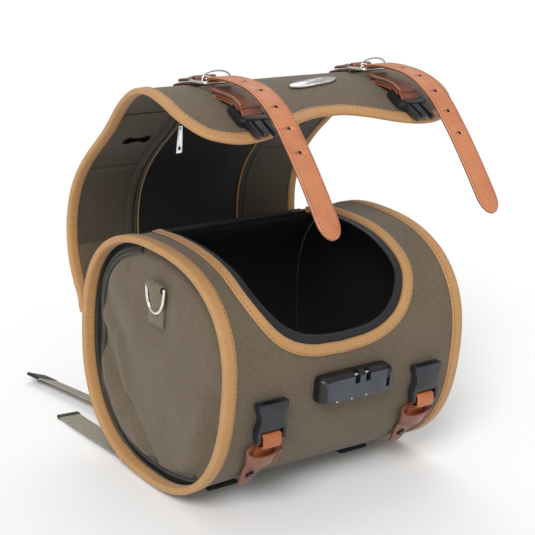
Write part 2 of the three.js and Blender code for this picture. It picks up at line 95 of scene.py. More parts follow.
# ---- driving dimensions ----
MM = 0.001
HALF_LENGTH = 0.150
HALF_DEPTH = 0.1255
HALF_HEIGHT = 0.1223
ROUNDNESS = 2.42  # 2 is an ellipse, more is squarer
EGG = 0.045  # the top is this much wider than the middle
CENTRE_Z = 0.126
LID_T = 0.006  # middle of the lid above the roll's skin when shut
LID_HALF_THICK = 0.0018
LID_REST_OPEN = math.radians(45)
FRONT_UNROLL = math.radians(20)
HINGE_S = -0.1795
FOLD_S = 0.0205
LID_SEAM_S = -0.125  # the lid's cover is sewn to its hinge cloth here
OPENING_X = -0.0095  # middle of the opening
GUSSET_HALF = 0.0945  # half the width of the cloth behind the opening
CROSS_SEAM_HALF = 0.1385
STRAP_X = 0.097
BUCKLE_X = 0.098
LEATHER = 0.0026
STRAP_HALF = 0.0125
SIDE_WORD = {-1: "left", 1: "right"}


# ---- curves ----
def run_along(points):
    """The distance along a polyline of each of its points."""
    return np.concatenate([[0], np.cumsum(np.linalg.norm(np.diff(points, axis=0), axis=1))])


def points_at(at, run, path):
    """The points of a path at these distances along it."""
    return np.stack([np.interp(at, run, path[:, k]) for k in range(path.shape[1])], axis=1)


def resample(points, count, closed=False):
    """Points at equal steps along a polyline."""
    points = np.asarray(points, float)
    if closed:
        points = np.vstack([points, points[:1]])
    run = run_along(points)
    at = np.linspace(0, run[-1], count, endpoint=not closed)
    return points_at(at, run, points)


def spline(knots, count, power=0.5):
    """A smooth curve through the knots, in count equal steps. Power 0.5 keeps it tight at close knots."""
    knots = np.asarray(knots, float)
    first = 2 * knots[0] - knots[1]
    last = 2 * knots[-1] - knots[-2]
    p = np.vstack([first, knots, last])
    time = np.concatenate([[0], np.cumsum(np.linalg.norm(np.diff(p, axis=0), axis=1) ** power)])
    made = []
    for i in range(1, len(p) - 2):
        t0, t1, t2, t3 = time[i - 1 : i + 3]
        for t in np.linspace(t1, t2, 24, endpoint=i == len(p) - 3):
            a1 = (t1 - t) / (t1 - t0) * p[i - 1] + (t - t0) / (t1 - t0) * p[i]
            a2 = (t2 - t) / (t2 - t1) * p[i] + (t - t1) / (t2 - t1) * p[i + 1]
            a3 = (t3 - t) / (t3 - t2) * p[i + 1] + (t - t2) / (t3 - t2) * p[i + 2]
            b1 = (t2 - t) / (t2 - t0) * a1 + (t - t0) / (t2 - t0) * a2
            b2 = (t3 - t) / (t3 - t1) * a2 + (t - t1) / (t3 - t1) * a3
            made.append((t2 - t) / (t2 - t1) * b1 + (t - t1) / (t2 - t1) * b2)
    return resample(made, count)


def directions(path, closed=False):
    """Unit tangents of a polyline."""
    if closed:
        along = np.roll(path, -1, axis=0) - np.roll(path, 1, axis=0)
    else:
        along = np.gradient(path, axis=0)
    return along / np.linalg.norm(along, axis=1)[:, None]


def smooth(value, low, high):
    """0 below low, 1 above high and a smooth step between them."""
    k = np.clip((np.asarray(value, float) - low) / (high - low), 0, 1)
    return k * k * (3 - 2 * k)


# ---- the roll's section ----
def section_table(count=2880):
    angle = np.linspace(0, 2 * math.pi, count + 1)
    power = 2 / ROUNDNESS
    z = np.sign(np.cos(angle)) * np.abs(np.cos(angle)) ** power
    y = -np.sign(np.sin(angle)) * np.abs(np.sin(angle)) ** power * (1 + EGG * z)
    points = np.stack([HALF_DEPTH * y, CENTRE_Z + HALF_HEIGHT * z], axis=1)
    run = run_along(points)
    even = np.linspace(0, run[-1], count + 1)
    points = points_at(even, run, points)
    along = directions(points[:-1], closed=True)
    kernel = 15
    along = sum(np.roll(along, k, axis=0) for k in range(-kernel, kernel + 1))
    along /= np.linalg.norm(along, axis=1)[:, None]
    return points[:-1], along, run[-1]


SECTION, SECTION_ALONG, GIRTH = section_table()


def skin(x, s, t):
    """The point at x along the roll, arc length s and height t over its skin, for arrays or numbers."""
    x, s, t = np.broadcast_arrays(np.asarray(x, float), s, t)
    at = (s / GIRTH % 1) * len(SECTION)
    low = np.floor(at).astype(int) % len(SECTION)
    high = (low + 1) % len(SECTION)
    share = (at - np.floor(at))[..., None]
    p = SECTION[low] * (1 - share) + SECTION[high] * share
    along = SECTION_ALONG[low] * (1 - share) + SECTION_ALONG[high] * share
    return np.stack([x, p[..., 0] + along[..., 1] * t, p[..., 1] - along[..., 0] * t], axis=-1)


# ---- the lid, from shut to how it stands ----
HINGE = skin(0, HINGE_S, LID_T)
FOLD = skin(0, FOLD_S, LID_T)
LID_BULGE = 0.0036  # the middle of the opened lid stands out from its shut shape
FOLD_REACH = 0.046  # the fold is spread over this much lid each way
HINGE_LOW, HINGE_HIGH = HINGE_S - 0.013, HINGE_S + 0.013


def turned(points, pivot, angle):
    """Points turned about the X axis through the pivot; the angle may be one for each point."""
    c, n = np.cos(angle), np.sin(angle)
    y = points[..., 1] - pivot[1]
    z = points[..., 2] - pivot[2]
    return np.stack([points[..., 0], pivot[1] + y * c - z * n, pivot[2] + y * n + z * c], axis=-1)


def lid_table(count=1400):
    """The lid's middle line at rest: the shut line bent open at hinge and fold, without stretching."""
    s = np.linspace(-0.205, 0.245, count)
    shut = skin(0, s, LID_T)
    out = skin(0, s, LID_T + 0.001) - shut
    spread = smooth(s, FOLD_S - FOLD_REACH, FOLD_S + FOLD_REACH)
    swing = smooth(s, HINGE_LOW, HINGE_HIGH)
    angle = -FRONT_UNROLL * spread - LID_REST_OPEN * swing
    step = turned(np.diff(shut, axis=0), np.zeros(3), (angle[1:] + angle[:-1]) / 2)
    line = np.vstack([shut[:1], shut[:1] + np.cumsum(step, axis=0)])
    back = turned(shut, HINGE, -LID_REST_OPEN)
    front = turned(turned(shut, FOLD, -FRONT_UNROLL), HINGE, -LID_REST_OPEN)
    for share, true in ((swing, back), (spread, front)):
        k = int(np.argmax(share >= 1))
        line = line + share[:, None] * (true[k] - line[k])
    return s, line, turned(out / np.linalg.norm(out, axis=1)[:, None], np.zeros(3), angle)


LID_ALONG, LID_LINE, LID_OUT = lid_table()


def lid(x, s, t):
    """A point of the shut lid, moved to where it stands at rest."""
    x, s, t = np.broadcast_arrays(np.asarray(x, float), s, t)
    y, z = (np.interp(s, LID_ALONG, LID_LINE[:, k]) for k in (1, 2))
    ny, nz = (np.interp(s, LID_ALONG, LID_OUT[:, k]) for k in (1, 2))
    t = t + LID_BULGE * smooth(s, -0.120, -0.045) * (1 - smooth(s, -0.020, 0.048))
    return np.stack([x, y + ny * (t - LID_T), z + nz * (t - LID_T)], axis=-1)


def front_place(points):
    """A point fixed to the shut lid's front leaf, moved to where it stands at rest."""
    points = np.asarray(points, float)
    return turned(turned(points, FOLD, -FRONT_UNROLL), HINGE, -LID_REST_OPEN)


FOLD_START = lid(0, FOLD_S - FOLD_REACH, LID_T)
FOLD_END = lid(0, FOLD_S + FOLD_REACH, LID_T)
HINGE_START = lid(0, HINGE_LOW, LID_T)
HINGE_END = lid(0, HINGE_HIGH, LID_T)


# ---- mesh helpers ----
def mesh_object(name, points, faces, material, cloth=None, sharp=35):
    """A mesh piece. cloth gives each point's place on the cloth in metres, which its weave follows."""
    mesh = bpy.data.meshes.new(name)
    mesh.from_pydata([tuple(p) for p in np.asarray(points, float).reshape(-1, 3)], [],
                     [list(f) for f in faces])
    mesh.update()
    piece = bpy.data.objects.new(name, mesh)
    bpy.context.scene.collection.objects.link(piece)
    if cloth is not None:
        flat = np.zeros((len(mesh.vertices), 3), np.float32)
        flat[:, :2] = np.asarray(cloth, float).reshape(-1, 2)
        mesh.attributes.new("cloth", "FLOAT_VECTOR", "POINT").data.foreach_set("vector", flat.ravel())
    mesh.materials.append(material)
    tidy_normals(mesh, sharp)
    return piece


def tidy_normals(mesh, sharp):
    """Faces turned outwards and shaded smooth, with edges over the angle kept sharp."""
    bm = bmesh.new()
    bm.from_mesh(mesh)
    bmesh.ops.recalc_face_normals(bm, faces=bm.faces)
    for face in bm.faces:
        face.smooth = True
    limit = math.radians(sharp)
    for edge in bm.edges:
        edge.smooth = len(edge.link_faces) != 2 or edge.calc_face_angle(0) < limit
    bm.to_mesh(mesh)
    bm.free()


def grid_faces(rows, columns, wrap_rows=False, wrap_columns=False, offset=0):
    faces = []
    for i in range(rows if wrap_rows else rows - 1):
        for j in range(columns if wrap_columns else columns - 1):
            a = i * columns + j
            b = i * columns + (j + 1) % columns
            c = (i + 1) % rows * columns + (j + 1) % columns
            d = (i + 1) % rows * columns + j
            faces.append((offset + a, offset + b, offset + c, offset + d))
    return faces


def slab(name, place, us, vs, low, high, material, wrap=False, cloth=None):
    """A sheet with thickness over a grid: place(u, v, t) gives its points between heights low and high."""
    u, v = np.meshgrid(us, vs, indexing="ij")
    rows, columns = u.shape
    top = place(u, v, high)
    bottom = place(u, v, low)
    count = rows * columns
    faces = grid_faces(rows, columns, wrap_rows=wrap)
    faces += [tuple(count + k for k in reversed(f)) for f in grid_faces(rows, columns, wrap_rows=wrap)]
    rim = [[i * columns for i in range(rows)], [i * columns + columns - 1 for i in range(rows)]]
    for line in rim:
        for i in range(rows if wrap else rows - 1):
            a, b = line[i], line[(i + 1) % rows]
            faces.append((a, b, count + b, count + a))
    if not wrap:
        for start in (0, (rows - 1) * columns):
            for j in range(columns - 1):
                a, b = start + j, start + j + 1
                faces.append((a, b, count + b, count + a))
    flat = cloth(u, v) if cloth else np.stack([u, v], axis=-1)
    return mesh_object(name, np.vstack([top.reshape(-1, 3), bottom.reshape(-1, 3)]), faces, material,
                       np.vstack([flat.reshape(-1, 2)] * 2))


def tube(name, rings, material, closed=False, cloth=None, sharp=50):
    """A skin through rings of points, one ring for each step along a path, with its ends filled."""
    rings = np.asarray(rings, float)
    count, sides = rings.shape[:2]
    faces = grid_faces(count, sides, wrap_rows=closed, wrap_columns=True)
    if not closed:
        faces += [tuple(range(sides)), tuple(range((count - 1) * sides, count * sides))]
    return mesh_object(name, rings, faces, material, cloth, sharp)


def swept_cloth(run, across):
    """The cloth's own coordinates on a swept profile: distance along it, and across it."""
    shape = (len(run), len(across))
    return np.stack([np.broadcast_to(run[:, None], shape), np.broadcast_to(across, shape)], axis=-1)


def swept(name, path, profile, place, material, closed=False, sharp=50):
    """A profile of [d, t] points carried along a path of [x, s] points; d is measured to the path's left."""
    along = directions(path, closed)
    across = np.stack([-along[:, 1], along[:, 0]], axis=1)
    profile = np.asarray(profile, float)
    flat = path[:, None, :] + across[:, None, :] * profile[None, :, 0, None]
    rings = place(flat[..., 0], flat[..., 1], np.broadcast_to(profile[:, 1], flat.shape[:2]))
    run = run_along(path)
    cloth = swept_cloth(run, profile[:, 0])
    return tube(name, rings, material, closed, cloth, sharp)


def wire(name, path, radius, material, closed=False, sides=14):
    """A round wire along points in space."""
    path = np.asarray(path, float)
    along = directions(path, closed)
    normal = np.cross(along[0], [0.3, 0.5, 0.81])
    rings = []
    turn = np.linspace(0, 2 * math.pi, sides, endpoint=False)
    for point, ahead in zip(path, along):
        normal = normal - ahead * (normal @ ahead)
        normal /= np.linalg.norm(normal)
        side = np.cross(ahead, normal)
        rings.append(point + radius * (np.cos(turn)[:, None] * normal + np.sin(turn)[:, None] * side))
    if closed:
        return close_ring(name, np.array(rings), material)
    return tube(name, rings, material, sharp=60)


def close_ring(name, rings, material):
    """Joins the last ring to the first at the turn that fits best."""
    sides = rings.shape[1]
    gaps = [np.linalg.norm(np.roll(rings[-1], k, axis=0) - rings[0], axis=1).sum() for k in range(sides)]
    shift = int(np.argmin(gaps))
    share = np.linspace(0, shift if shift <= sides / 2 else shift - sides, len(rings))
    turned_rings = []
    for ring, k in zip(rings, share):
        low = math.floor(k)
        before, after = np.roll(ring, low, axis=0), np.roll(ring, low + 1, axis=0)
        turned_rings.append(before * (1 - (k - low)) + after * (k - low))
    if np.allclose(turned_rings[0], turned_rings[-1], atol=1e-5):
        turned_rings.pop()
    return tube(name, turned_rings, material, closed=True, sharp=60)


def joined(name, pieces):
    """Several mesh objects as one piece."""
    bm = bmesh.new()
    materials = []
    for piece in pieces:
        slots = []
        for material in piece.data.materials:
            if material not in materials:
                materials.append(material)
            slots.append(materials.index(material))
        before = len(bm.faces)
        bm.from_mesh(piece.data)
        bm.faces.ensure_lookup_table()
        for face in bm.faces[before:]:
            face.material_index = slots[face.material_index]
    mesh = bpy.data.meshes.new(name)
    bm.to_mesh(mesh)
    bm.free()
    for material in materials:
        mesh.materials.append(material)
    for piece in pieces:
        bpy.data.objects.remove(piece)
    made = bpy.data.objects.new(name, mesh)
    bpy.context.scene.collection.objects.link(made)
    return made


def finished(piece, *modifiers):
    """The piece with its modifiers worked into its mesh."""
    for kind, settings in modifiers:
        modifier = piece.modifiers.new(kind, kind)
        for key, value in settings.items():
            setattr(modifier, key, value)
    graph = bpy.context.evaluated_depsgraph_get()
    mesh = bpy.data.meshes.new_from_object(piece.evaluated_get(graph), depsgraph=graph)
    piece.modifiers.clear()
    piece.data = mesh
    return piece


def rounded(piece, width, segments=3, angle=35):
    """Sharp edges rounded off."""
    return finished(piece, ("BEVEL", {"width": width, "segments": segments, "limit_method": "ANGLE",
                                      "angle_limit": math.radians(angle), "use_clamp_overlap": True,
                                      "harden_normals": False}))


# One stitch: a short thread, thin at its ends, along x with z out of the cloth.
def stitch_template():
    rings = []
    for along, width in ((-1, 0.15), (-0.72, 0.8), (0, 1), (0.72, 0.8), (1, 0.15)):
        turn = np.linspace(0, 2 * math.pi, 6, endpoint=False)
        rings.append(np.stack([np.full(6, along), width * np.cos(turn), width * np.sin(turn)], axis=1))
    faces = grid_faces(5, 6, wrap_columns=True) + [tuple(range(6)), tuple(range(24, 30))]
    return np.vstack(rings), faces


STITCH, STITCH_FACES = stitch_template()


def stitches(name, lines, material, pitch=0.0048, length=0.0031, radius=0.00042):
    """Rows of stitches. Each line is points and outward directions along a seam."""
    points, faces = [], []
    for path, out in lines:
        run = run_along(path)
        count = max(1, int(run[-1] / pitch))
        centres = (np.arange(count) + 0.5) * run[-1] / count
        middle = points_at(centres, run, path)
        ahead = points_at(centres + length / 2, run, path) - middle
        up = points_at(centres, run, out)
        for c, a, n in zip(middle, ahead, up):
            if np.linalg.norm(a) < 1e-6:
                continue
            a = a / np.linalg.norm(a)
            n = n - a * (n @ a)
            n /= np.linalg.norm(n)
            b = np.cross(n, a)
            local = STITCH * [length / 2, radius * 1.25, radius]
            faces += [tuple(len(points) + k for k in f) for f in STITCH_FACES]
            points += list(c + local[:, :1] * a + local[:, 1:2] * b + local[:, 2:] * n)
    return mesh_object(name, points, faces, material)


def seam_line(xs, place, t):
    """Points and outward directions along [x, s] points at height t."""
    path = place(xs[:, 0], xs[:, 1], t)
    out = place(xs[:, 0], xs[:, 1], t + 0.001) - path
    return path, out / np.linalg.norm(out, axis=1)[:, None]


def offset_path(path, d, closed=False):
    along = directions(path, closed)
    return path + np.stack([-along[:, 1], along[:, 0]], axis=1) * d


# ---- materials ----
def srgb(red, green, blue):
    """A colour from 0 to 255 in each channel, as the shader wants it."""
    linear = [(c / 255 + 0.055) / 1.055 for c in (red, green, blue)]
    return tuple(c ** 2.4 for c in linear) + (1.0,)


class Look:
    """One material's nodes."""

    def __init__(self, name, roughness=0.5, metallic=0.0, **sockets):
        self.material = bpy.data.materials.new(name)
        self.material.use_nodes = True
        self.tree = self.material.node_tree
        self.shader = self.tree.nodes["Principled BSDF"]
        self.shader.inputs["Roughness"].default_value = roughness
        self.shader.inputs["Metallic"].default_value = metallic
        for key, value in sockets.items():
            self.shader.inputs[key.replace("_", " ")].default_value = value

    def node(self, kind, settings=None, **inputs):
        made = self.tree.nodes.new(kind)
        for key, value in (settings or {}).items():
            setattr(made, key, value)
        for key, value in inputs.items():
            socket = made.inputs[int(key[1:])] if key[0] == "i" and key[1:].isdigit() else made.inputs[key]
            if isinstance(value, bpy.types.NodeSocket):
                self.tree.links.new(value, socket)
            else:
                socket.default_value = value
        return made

    def math(self, operation, a, b=0.0):
        return self.node("ShaderNodeMath", {"operation": operation}, i0=a, i1=b).outputs[0]

    def on_cloth(self):
        return self.node("ShaderNodeAttribute", {"attribute_name": "cloth"}).outputs["Vector"]

    def in_space(self):
        return self.node("ShaderNodeTexCoord").outputs["Object"]

    def scaled(self, vector, x, y, z=1.0):
        return self.node("ShaderNodeVectorMath", {"operation": "MULTIPLY"}, i0=vector,
                         i1=(x, y, z)).outputs[0]

    def noise(self, vector, scale, detail=3.0, rough=0.55):
        made = self.node("ShaderNodeTexNoise", Vector=vector, Scale=scale, Detail=detail, Roughness=rough)
        return made.outputs["Fac"]

    def remap(self, value, low, high, to_low, to_high):
        made = self.node("ShaderNodeMapRange", Value=value)
        for key, number in (("From Min", low), ("From Max", high), ("To Min", to_low), ("To Max", to_high)):
            made.inputs[key].default_value = number
        return made.outputs["Result"]

    def mix(self, share, a, b):
        made = self.node("ShaderNodeMix", {"data_type": "RGBA"}, Factor=share)
        for socket, value in ((made.inputs[6], a), (made.inputs[7], b)):
            if isinstance(value, bpy.types.NodeSocket):
                self.tree.links.new(value, socket)
            else:
                socket.default_value = value
        return made.outputs[2]

    def colour(self, socket):
        self.tree.links.new(socket, self.shader.inputs["Base Color"])
        return self

    def roughness(self, socket):
        self.tree.links.new(socket, self.shader.inputs["Roughness"])
        return self

    def bump(self, height, strength, distance):
        made = self.node("ShaderNodeBump", Height=height, Strength=strength, Distance=distance)
        self.tree.links.new(made.outputs["Normal"], self.shader.inputs["Normal"])
        return self


def woven(name, light, dark, pitch=(0.0013, 0.0013), streak=(160, 900), depth=0.5, relief=0.00035,
          roughness=0.85, sheen=0.15, mottle=0.35):
    """Cloth of crossing threads: pitch is two threads' width each way, streak their own unevenness."""
    look = Look(name, roughness, Sheen_Weight=sheen, Sheen_Roughness=0.4)
    cloth = look.on_cloth()
    parts = look.node("ShaderNodeSeparateXYZ", Vector=cloth)
    wobble = look.math("MULTIPLY", look.noise(cloth, 420, 2), 1.6)
    waves = []
    for axis, step in zip((0, 1), pitch):
        turns = look.math("MULTIPLY", parts.outputs[axis], 2 * math.pi / step)
        waves.append(look.math("SINE", look.math("ADD", turns, wobble)))
    weave = look.math("MULTIPLY", waves[0], waves[1])
    fibres = look.noise(look.scaled(cloth, streak[0], streak[1]), 1.0, 2)
    across = look.noise(look.scaled(cloth, streak[1], streak[0]), 1.0, 2)
    stains = look.noise(cloth, 14, 4)
    shade = look.math("ADD", look.math("MULTIPLY", weave, 0.16), look.math("MULTIPLY", fibres, 0.9))
    shade = look.math("ADD", shade, look.math("MULTIPLY", across, 0.45))
    shade = look.math("ADD", shade, look.math("MULTIPLY", stains, mottle))
    middle = (0.9 + 0.45 + mottle) / 2
    look.colour(look.mix(look.remap(shade, middle - depth, middle + depth, 0, 1), dark, light))
    height = look.math("ADD", look.math("MULTIPLY", weave, 0.5), fibres)
    return look.bump(height, 0.7, relief).material


def leather(name, light, dark, roughness=0.45, relief=0.00022):
    """Finished leather with a fine pebbled grain, worn unevenly."""
    look = Look(name, roughness, Coat_Weight=0.08, Coat_Roughness=0.35)
    space = look.in_space()
    cells = look.node("ShaderNodeTexVoronoi", {"feature": "SMOOTH_F1"}, Vector=space,
                      Scale=900.0).outputs["Distance"]
    fine = look.noise(space, 1500, 3)
    wear = look.noise(space, 38, 4, 0.6)
    pores = look.noise(space, 420, 2)
    share = look.math("ADD", look.math("MULTIPLY", wear, 0.75), look.math("MULTIPLY", pores, 0.35))
    look.colour(look.mix(look.remap(share, 0.3, 0.8, 0, 1), dark, light))
    look.roughness(look.remap(wear, 0.3, 0.7, roughness + 0.09, roughness - 0.07))
    height = look.math("ADD", look.math("MULTIPLY", cells, 0.7), look.math("MULTIPLY", fine, 0.4))
    return look.bump(height, 0.5, relief).material


def moulded(name, light, dark, roughness=0.38, relief=0.00006, scale=1600):
    """Moulded plastic with a fine spark-eroded texture."""
    look = Look(name, roughness, Specular_IOR_Level=0.5)
    space = look.in_space()
    cloud = look.noise(space, 45, 3)
    look.colour(look.mix(look.remap(cloud, 0.35, 0.65, 0, 1), dark, light))
    look.roughness(look.remap(look.noise(space, 130, 3), 0.3, 0.7, roughness - 0.05, roughness + 0.07))
    return look.bump(look.noise(space, scale, 2), 0.35, relief).material


def metal(name, light, dark, roughness=0.16, relief=0.00003, scale=500):
    """Plated metal with faint haze and polishing marks."""
    look = Look(name, roughness, 1.0)
    space = look.in_space()
    haze = look.noise(space, 120, 4)
    look.colour(look.mix(look.remap(haze, 0.35, 0.65, 0, 1), dark, light))
    look.roughness(look.remap(haze, 0.3, 0.7, roughness - 0.05, roughness + 0.08))
    return look.bump(look.noise(space, scale, 3), 0.3, relief).material


def thread(name, light, dark):
    """Twisted sewing thread."""
    look = Look(name, 0.6, Sheen_Weight=0.2)
    space = look.in_space()
    look.colour(look.mix(look.noise(space, 700, 2), dark, light))
    return look.bump(look.noise(space, 3000, 1), 0.4, 0.0001).material


CANVAS = woven("canvas", srgb(121, 106, 84), srgb(64, 54, 41), pitch=(0.0021, 0.0024), streak=(170, 800),
               depth=0.55, relief=0.0007)
# Darker canvas for the lid's underside: partly the cloth's real reverse side, partly painted shade under the
# open lid.
CANVAS_BACK_AND_SHADE = woven("canvas_back_and_shade", srgb(88, 76, 61), srgb(52, 44, 35), pitch=(0.0016, 0.0019),
                    streak=(170, 800))
LINING = woven("lining", srgb(28, 28, 29), srgb(14, 14, 15), pitch=(0.0009, 0.0009), streak=(400, 900),
               relief=0.0001, roughness=0.55, sheen=0.05)
TAPE = woven("binding_tape", srgb(196, 152, 100), srgb(150, 106, 60), pitch=(0.0014, 0.0024),
             streak=(1300, 90), relief=0.0002, roughness=0.72, sheen=0.2, depth=0.6)
ZIP_TAPE = woven("zip_tape", srgb(72, 73, 55), srgb(45, 46, 34), pitch=(0.0009, 0.0012), streak=(200, 900))
BLACK_TAPE = woven("black_tape", srgb(30, 30, 32), srgb(16, 16, 18), pitch=(0.0009, 0.0012),
                   streak=(200, 900))
WEBBING = woven("webbing", srgb(160, 153, 138), srgb(112, 105, 91), pitch=(0.0018, 0.0026), streak=(300, 500),
                relief=0.0005, depth=0.45)
STRAP_LEATHER = leather("strap_leather", srgb(200, 132, 91), srgb(172, 104, 68))
LOOP_LEATHER = leather("loop_leather", srgb(144, 92, 71), srgb(102, 61, 46), roughness=0.42)
INNER_LEATHER = leather("inner_leather", srgb(192, 112, 68), srgb(150, 78, 44), roughness=0.4)
LEATHER_EDGE = leather("leather_edge", srgb(120, 72, 48), srgb(70, 42, 30), roughness=0.6, relief=0.0004)
PLASTIC = moulded("black_plastic", srgb(36, 38, 44), srgb(20, 21, 25), roughness=0.34)
LOCK_PLASTIC = moulded("lock_plastic", srgb(60, 64, 72), srgb(48, 52, 60), roughness=0.42)
LOCK_EDGE = moulded("lock_edge", srgb(24, 25, 28), srgb(13, 14, 16), roughness=0.36)
CHROME = metal("chrome", (0.86, 0.85, 0.83, 1), (0.72, 0.71, 0.69, 1))
DARK_STEEL = metal("dark_steel", srgb(104, 100, 95), srgb(70, 67, 62), roughness=0.34, relief=0.0001)
BLACK_METAL = metal("black_metal", srgb(52, 50, 49), srgb(30, 29, 28), roughness=0.4, relief=0.0001)
RUBBER = moulded("rubber", srgb(38, 38, 38), srgb(24, 24, 24), roughness=0.8, relief=0.0002, scale=700)
BOARD = moulded("board", srgb(44, 42, 40), srgb(30, 29, 28), roughness=0.7)
PALE_THREAD = thread("pale_thread", srgb(232, 205, 176), srgb(196, 160, 126))
TAN_THREAD = thread("tan_thread", srgb(158, 102, 58), srgb(120, 76, 44))
DARK_THREAD = thread("dark_thread", srgb(134, 92, 72), srgb(98, 64, 50))
# Walls of the punched strap holes: the cut leather darkened with painted shade inside the holes.
HOLE_WALL_SHADE = moulded("hole_wall_shade", srgb(56, 32, 24), srgb(34, 20, 15), roughness=0.8)


def dress(piece, body, slot_name, *nodes):
    """The piece moves with its body and stands for its CAD nodes; slot_name is not used."""
    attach(piece, body)
    if nodes:
        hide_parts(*nodes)
    return piece


def dress_blend(piece, bodies, start, end, slot_name, *nodes):
    if nodes:
        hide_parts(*nodes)
    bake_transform(piece, *bodies, start=tuple(start), end=tuple(end))
    return piece


def over_fold(piece, slot_name, *nodes):
    """Dresses a piece that bends with the lid's fold, between its two leaves."""
    return dress_blend(piece, ("lid_back", "lid_front"), FOLD_START, FOLD_END, slot_name, *nodes)


def over_hinge(piece, slot_name, *nodes):
    """Dresses a piece that bends with the lid's hinge, between the roll and the back leaf."""
    return dress_blend(piece, ("root", "lid_back"), HINGE_START, HINGE_END, slot_name, *nodes)


# ---- roll, lining and opening ----
OPENING_HALF = [(0.5, -72), (50, -70), (84, -64), (97, -46), (100, -10), (100, 60), (96, 102), (78, 135),
                (60, 149), (37, 157), (0.5, 160)]


def opening_path(count=420):
    """The opening's edge as a closed run of [x, s] points, up its right side and down its left."""
    half = spline(np.array(OPENING_HALF) * MM, 300)
    left = half[::-1] * [-1, 1]
    path = np.vstack([half, left])
    path[:, 0] += OPENING_X
    return resample(path, count, closed=True)


def inside(points, outline):
    """Which [x, s] points lie inside a closed outline."""
    x, s = points[..., 0], points[..., 1]
    found = np.zeros(x.shape, bool)
    for (x0, s0), (x1, s1) in zip(outline, np.roll(outline, -1, axis=0)):
        crosses = (s0 > s) != (s1 > s)
        with np.errstate(divide="ignore", invalid="ignore"):
            found ^= crosses & (x < (x1 - x0) * (s - s0) / (s1 - s0) + x0)
    return found


def soft_noise(x, s, scale, seed):
    """Slow unevenness from -1 to 1 over the cloth."""
    flat = np.stack(np.broadcast_arrays(np.asarray(x, float), s), axis=-1).reshape(-1, 2)
    values = [noise.noise(Vector((a * scale, b * scale, seed))) for a, b in flat]
    return np.array(values).reshape(np.broadcast(x, s).shape)


def roll_cloth(name, reach, t, thick, material, edge, sag, seed, columns=96, rows=262):
    """A tube of cloth at height t, with the opening cut out of it along the opening's edge."""
    xs = np.linspace(-reach, reach, columns)
    arcs = np.arange(rows) * GIRTH / rows - 0.3 * GIRTH
    s, x = np.meshgrid(arcs, xs, indexing="ij")
    outline = offset_path(opening_path(), -edge, closed=True)
    cell = GIRTH / rows
    middles = np.stack([x[:, :-1] + (xs[1] - xs[0]) / 2, s[:, :-1] + cell / 2], axis=-1)
    hole = inside(middles, outline)
    count = rows * columns
    faces = []
    for i in range(rows):
        for j in range(columns - 1):
            if not hole[i, j]:
                a, d = i * columns + j, (i + 1) % rows * columns + j
                faces.append((a, a + 1, d + 1, d))
    used = np.zeros(count, int)
    for face in faces:
        for k in face:
            used[k] += 1
    flat = np.stack([x, s], axis=-1).reshape(-1, 2)
    ends = np.isclose(np.abs(flat[:, 0]), reach)
    for k in np.nonzero((used > 0) & (used < 4) & ~ends)[0]:
        flat[k] = outline[np.argmin(np.linalg.norm(outline - flat[k], axis=1))]
    bumps = soft_noise(flat[:, 0], flat[:, 1], 16, seed) - 0.6
    slack = sag * bumps * smooth(reach - np.abs(flat[:, 0]), 0, 0.03)
    keep = np.nonzero(used)[0]
    index = -np.ones(count, int)
    index[keep] = np.arange(len(keep))
    faces = [tuple(index[k] for k in face) for face in faces]
    piece = mesh_object(name, skin(flat[keep, 0], flat[keep, 1], t + slack[keep]), faces, material,
                        flat[keep])
    outward = sum(p.center[1] * p.normal[1] + (p.center[2] - CENTRE_Z) * p.normal[2]
                  for p in piece.data.polygons)
    if outward < 0:
        piece.data.flip_normals()
    return finished(piece, ("SOLIDIFY", {"thickness": thick, "offset": -1}))


def make_roll():
    shell = roll_cloth("roll_canvas", HALF_LENGTH - 0.004, 0.0002, 0.0024, CANVAS, 0.0035, 0.0009, 1.7)
    dress(shell, "root", "canvas", "body_shell")
    liner = roll_cloth("roll_lining", HALF_LENGTH - 0.0165, -0.0034, 0.0009, LINING, 0.0075, 0.0012, 8.2)
    dress(liner, "root", "lining", "body_lining")
    path = opening_path()
    profile = [(-11.0, 0.2), (-11.3, 0.6), (-10.9, 1.1), (-9.4, 1.3), (-6, 1.75), (-2.6, 1.95), (-0.9, 1.4),
               (-0.1, 0.1), (0.2, -1.5), (-0.1, -3.0), (-1.2, -4.3), (-4, -4.9), (-8.8, -4.9), (-9.6, -4.6),
               (-9.4, -4.4), (-3.3, -3.0), (-2.5, -1.4), (-3.3, 0.2)]
    open_run = path[path[:, 1] > -0.058]
    edge = swept("opening_tape", open_run, np.array(profile) * MM, skin, TAPE)
    dress(edge, "root", "tan_binding", "opening_binding")
    sewn = [seam_line(offset_path(open_run, -0.0094), skin, 0.00135)]
    dress(stitches("opening_stitches", sewn, TAN_THREAD), "root", "tan_binding")
    make_opening_zip(path)
    make_gusset()


GUSSET_LINE = np.array([(-170, 0.5), (-120, 0.5), (-78, 0.6), (-71.5, 0.3), (-69.2, -1.6), (-71, -4.2),
                        (-77, -5.2), (-92, -5.3)]) * MM


def make_gusset():
    """Black lining over the canvas between the opening and the lid's hinge, turned down into the roll."""
    line = spline(GUSSET_LINE, 70)
    along = directions(line)
    out = np.stack([-along[:, 1], along[:, 0]], -1)
    if out[0, 1] < 0:
        out = -out

    def place(u, v, t):
        k = np.rint(u).astype(int)
        return skin(v, line[k, 0] + out[k, 0] * t, line[k, 1] + out[k, 1] * t)

    piece = slab("lid_gusset", place, np.arange(70), np.linspace(OPENING_X - GUSSET_HALF,
                                                                 OPENING_X + GUSSET_HALF, 40), 0, 0.0007,
                 LINING, cloth=lambda u, v: np.stack([v, line[np.rint(u).astype(int), 0]], -1))
    dress(piece, "root", "lining")


